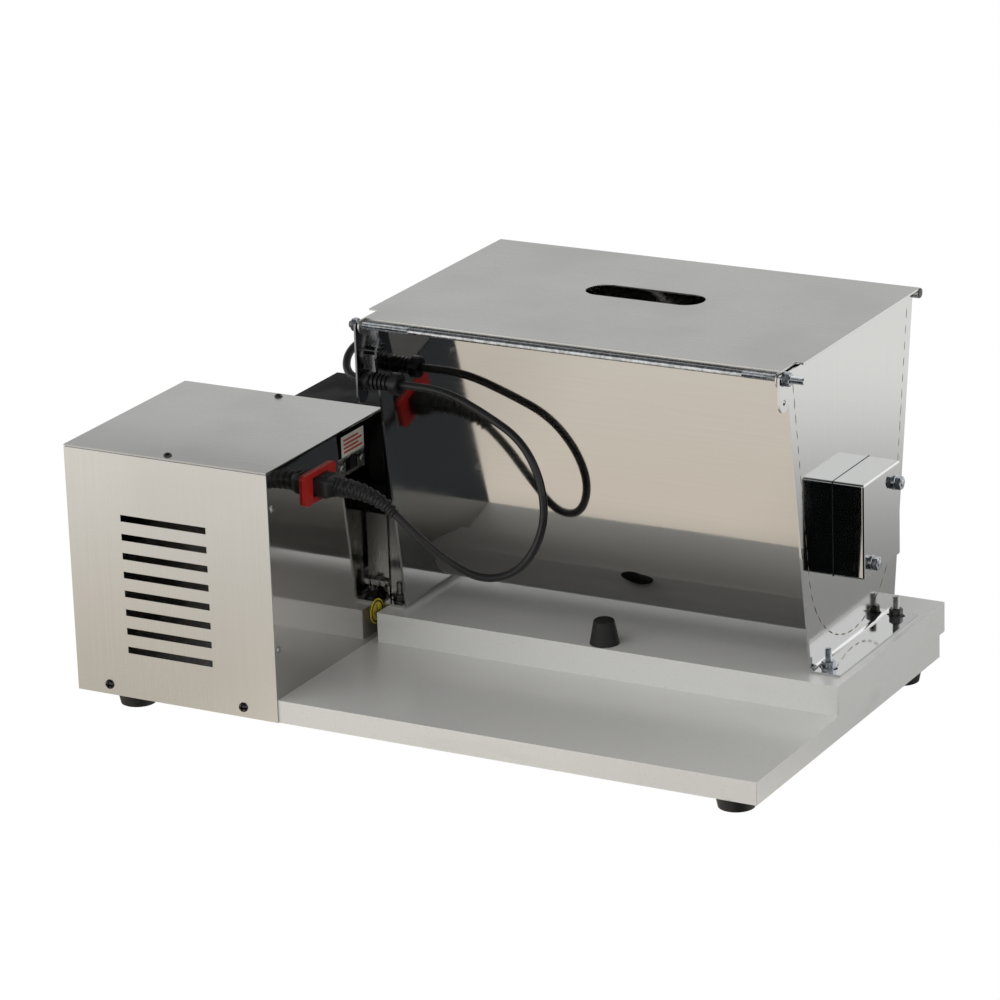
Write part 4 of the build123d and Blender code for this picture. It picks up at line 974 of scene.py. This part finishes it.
def make_connector():
    """Moulded connector with grip ribs and a ribbed strain relief that bends down with the cord."""
    shape = bmesh.new()
    add_moulded_body(
        shape, CONNECTOR_STATIONS, *CONNECTOR_HALF, CONNECTOR_SQUARE, CONNECTOR_STEPS,
        lambda x, u, v: at(x, INLET[0] + u, INLET[1] + v),
    )
    length, half_width, height = GRIP_SIZE
    for rib in range(4):
        x = GRIP_X0 + rib * GRIP_PITCH
        for z in GRIP_Z:
            add_block(shape, (x, INLET[0] - half_width, z), (x + length, INLET[0] + half_width, z + height))
    points = []
    radii = []
    for step in range(RELIEF_STEPS + 1):
        share = step / RELIEF_STEPS * (len(RELIEF_PATH) - 1)
        index = min(int(share), len(RELIEF_PATH) - 2)
        start, end = Vector(RELIEF_PATH[index]), Vector(RELIEF_PATH[index + 1])
        points.append(tuple(start.lerp(end, share - index)))
        grooved = step > 4 and (step // 3) % 2 == 1
        radius = RELIEF_R - RELIEF_TAPER * step / RELIEF_STEPS
        radii.append(radius - (RELIEF_GROOVE if grooved else 0.0))
    add_tube(shape, points, radii)
    replaced = ("power_connector",)
    piece("connector_moulding", shape, black_plastic, replaced=replaced, bevel=0.0003)


def make_sleeve():
    """Ribbed sleeve that holds the cord in the left bracket."""
    profile = list(SLEEVE_COLLAR)
    for rib in range(SLEEVE_RIBS):
        x = SLEEVE_RIB_X0 + rib * SLEEVE_RIB_PITCH
        radius = SLEEVE_RIB_R - rib * SLEEVE_RIB_TAPER
        profile += [(SLEEVE_GROOVE_R, x), (SLEEVE_GROOVE_R, x + 0.0012)]
        profile += [(radius, x + 0.0015), (radius, x + 0.0036)]
    profile += SLEEVE_TAIL
    shape = bmesh.new()
    add_lathe(shape, profile + profile[:1], facing((0.0, *SLEEVE_AXIS), "+x"), 44)
    piece("ribbed_sleeve", shape, black_plastic, replaced=("cord_sleeve",))


make_connector()
make_sleeve()


# ---------------------------------------------------------------- plug and coil tie
PLUG_X = COIL_CENTRE[0] - COIL_R
PLUG_Z = COIL_FLOOR + 0.0105
PLUG_STEPS = 48
PLUG_HALF = (0.0170, 0.0103)
PLUG_SQUARE = 0.55
PLUG_STATIONS = (
    (0.2150, 0.93, 0.90), (0.2162, 1.0, 1.0), (0.2280, 1.0, 1.0),
    (0.2400, 0.90, 0.96), (0.2480, 0.66, 0.86), (0.2530, 0.42, 0.70),
)
NECK_STEPS = 25
NECK_Y0 = 0.250
NECK_PITCH = 0.0012
NECK_R = 0.0062
NECK_TAPER = 0.0001
NECK_GROOVE = 0.0009
PIN_SPREAD = 0.0095
PIN_PROFILE = [(0.0, -0.002), (0.0024, -0.002), (0.0024, 0.0178), (0.0016, 0.019), (0.0, 0.0192)]
TIE_STEPS = 32
TIE_HALF = (0.0078, 0.0075)
TIE_SQUARE = 0.6
TIE_HALF_WIDTH = 0.0025
TIE_T = 0.0008
TIE_CLEAR = 0.0003


def make_plug():
    """Plain moulded plug with a ribbed neck and two round pins."""
    shape = bmesh.new()
    add_moulded_body(
        shape, PLUG_STATIONS, *PLUG_HALF, PLUG_SQUARE, PLUG_STEPS,
        lambda y, u, v: at(PLUG_X + u, y, PLUG_Z + v),
    )
    neck_points = [(PLUG_X, NECK_Y0 + NECK_PITCH * step, PLUG_Z) for step in range(NECK_STEPS)]
    neck_radii = []
    for step in range(NECK_STEPS):
        neck_radii.append(NECK_R - NECK_TAPER * step - (NECK_GROOVE if (step // 2) % 2 else 0.0))
    add_tube(shape, neck_points, neck_radii)
    piece("plug_moulding", shape, black_plastic, replaced=("mains_plug",))
    shape = bmesh.new()
    for offset in (-PIN_SPREAD, PIN_SPREAD):
        pin = facing((PLUG_X + offset, PLUG_STATIONS[0][0], PLUG_Z), "-y")
        add_lathe(shape, PIN_PROFILE, pin, 24)
    piece("plug_pins", shape, brass)


def make_coil_tie():
    """Band round the coil's turns, resting on the board."""
    centre_x = COIL_CENTRE[0] + COIL_R
    centre_z = COIL_FLOOR + 2 * CORD_R
    points = []
    for step in range(TIE_STEPS + 1):
        angle = 2 * math.pi * step / TIE_STEPS
        x = centre_x + TIE_HALF[0] * signed_power(math.cos(angle), TIE_SQUARE)
        z = centre_z + TIE_HALF[1] * signed_power(math.sin(angle), TIE_SQUARE)
        points.append(at(x, COIL_CENTRE[1], max(z, COIL_FLOOR + TIE_CLEAR)))
    half = Vector((0.0, TIE_HALF_WIDTH, 0.0))
    shape = bmesh.new()
    for start, end in zip(points, points[1:]):
        corners = (start - half, end - half, end + half, start + half)
        shape.faces.new([shape.verts.new(corner) for corner in corners])
    bmesh.ops.remove_doubles(shape, verts=shape.verts, dist=0.00001)
    tie = piece("coil_tie", shape, black_plastic)
    tie.modifiers.new("thickness", "SOLIDIFY").thickness = TIE_T


make_plug()
make_coil_tie()


# ---------------------------------------------------------------- weld marks
AXIS_Y = 0.2555
BOTTOM_Z = 0.150
BOTTOM_R = 0.085
BOTTOM_STEPS = 40
TAPER = math.radians(8.8)
WALL_TOP = 0.311
WELD_STEP = 0.0135
WELD_SEED = 7
WELD_LENGTH = (0.0042, 0.0066)
WELD_TURN = 0.08
WELD_HALF_WIDTH = 0.0006
WELD_LIFT = 0.00002
WELD_PEAK = 0.00025
WELD_OUTLINE = ((-1, 0), (-0.4, -1), (0.4, -1), (1, 0), (0.4, 1), (-0.4, 1))
WELD_SIDES = (("weld_marks_right", 0.5962, 1.0), ("weld_marks_left", 0.2186, -1.0))


def trough_line(step_length):
    """Points and directions along the trough's cross-section, from the near lip round to the far one."""
    tangent_y = BOTTOM_R * math.cos(TAPER)
    tangent_z = BOTTOM_Z - BOTTOM_R * math.sin(TAPER)
    top_y = tangent_y + (WALL_TOP - tangent_z) * math.tan(TAPER)
    line = [(AXIS_Y - top_y, WALL_TOP)]
    for step in range(BOTTOM_STEPS + 1):
        angle = math.pi + TAPER + (math.pi - 2 * TAPER) * step / BOTTOM_STEPS
        line.append((AXIS_Y + BOTTOM_R * math.cos(angle), BOTTOM_Z + BOTTOM_R * math.sin(angle)))
    line.append((AXIS_Y + top_y, WALL_TOP))
    placed = []
    walked = step_length / 2
    for (y0, z0), (y1, z1) in zip(line, line[1:]):
        run = math.hypot(y1 - y0, z1 - z0)
        direction = math.atan2(z1 - z0, y1 - y0)
        while walked < run:
            share = walked / run
            placed.append((y0 + (y1 - y0) * share, z0 + (z1 - z0) * share, direction))
            walked += step_length
        walked -= run
    return placed


def make_weld_marks():
    """Stitch welds on both end plates, along the line where the trough meets them."""
    random.seed(WELD_SEED)
    for name, face_x, out in WELD_SIDES:
        shape = bmesh.new()
        for y, z, angle in trough_line(WELD_STEP):
            length = random.uniform(*WELD_LENGTH)
            turned = angle + random.uniform(-WELD_TURN, WELD_TURN)
            verts = []
            for along, across in WELD_OUTLINE:
                ahead = along * length
                aside = across * WELD_HALF_WIDTH
                dy = ahead * math.cos(turned) - aside * math.sin(turned)
                dz = ahead * math.sin(turned) + aside * math.cos(turned)
                verts.append(shape.verts.new(at(face_x + out * WELD_LIFT, y + dy, z + dz)))
            peak = shape.verts.new(at(face_x + out * WELD_PEAK, y, z))
            for first, second in zip(verts, verts[1:] + verts[:1]):
                shape.faces.new((first, second, peak))
            shape.faces.new(verts)
        piece(name, shape, heat_tint)


make_weld_marks()


# ---------------------------------------------------------------- cover seam, lip ends, gear case screws
SEAM_X = (0.5962, 0.5967)
COVER_Y = (0.217, 0.289)
COVER_Z = (0.124, 0.205)
SEAM_PROUD = 0.00012
SEAM_SUNK = 0.0004
LIP_CENTRE = (0.3845, 0.318)
LIP_ENDS = ((0.600, "+x"), (0.205, "-x"))
LIP_PLUG = [
    (0.0, -0.006), (0.0032, -0.006), (0.0032, 0.0), (0.0042, 0.0), (0.0040, 0.0006), (0.0, 0.0009),
]
GEAR_CAP_X = 0.094
GEAR_CAP_Z = (0.0740, 0.2080)
GEAR_SCREW_Y = (0.2020, 0.2775)
GEAR_LID_X = (0.118, 0.187)
GEAR_LID_Z = 0.218
CAP_SCREW = [
    (0.0, -0.004), (0.0042, -0.004), (0.0042, 0.0026), (0.0037, 0.0031),
    (0.0022, 0.0031), (0.0022, 0.0012), (0.0, 0.0012),
]
LID_SCREW = [
    (0.0, -0.004), (0.0036, -0.004), (0.0036, 0.0018), (0.0031, 0.0022),
    (0.0018, 0.0022), (0.0018, 0.0008), (0.0, 0.0008),
]


def make_cover_seam():
    """Dark joint where the bearing cover meets the end plate, a thin strip on each of its four sides."""
    low = (SEAM_X[0], COVER_Y[0] - SEAM_PROUD, COVER_Z[0] - SEAM_PROUD)
    high = (SEAM_X[1], COVER_Y[1] + SEAM_PROUD, COVER_Z[1] + SEAM_PROUD)
    shape = bmesh.new()
    add_block(shape, low, (high[0], COVER_Y[0] + SEAM_SUNK, high[2]))
    add_block(shape, (low[0], COVER_Y[1] - SEAM_SUNK, low[2]), high)
    add_block(shape, (low[0], low[1], COVER_Z[1] - SEAM_SUNK), high)
    add_block(shape, low, (high[0], high[1], COVER_Z[0] + SEAM_SUNK))
    piece("cover_seam", shape, ink)


def make_lip_plugs():
    """Plugs in the ends of the lid's rolled lip."""
    shape = bmesh.new()
    for lip_x, direction in LIP_ENDS:
        add_lathe(shape, LIP_PLUG, facing((lip_x, *LIP_CENTRE), direction), 28)
    piece("lip_end_plugs", shape, black_plastic, body="lid")


def make_gear_screws():
    """Socket screws on the gear unit's end cap and top."""
    shape = bmesh.new()
    for screw_y in GEAR_SCREW_Y:
        for screw_z in GEAR_CAP_Z:
            add_lathe(shape, CAP_SCREW, facing((GEAR_CAP_X, screw_y, screw_z), "-x"), 32)
    for screw_x in GEAR_LID_X:
        for screw_y in GEAR_SCREW_Y:
            add_lathe(shape, LID_SCREW, facing((screw_x, screw_y, GEAR_LID_Z), "+z"), 32)
    piece("gear_case_screws", shape, dark_bolt)


make_cover_seam()
make_lip_plugs()
make_gear_screws()
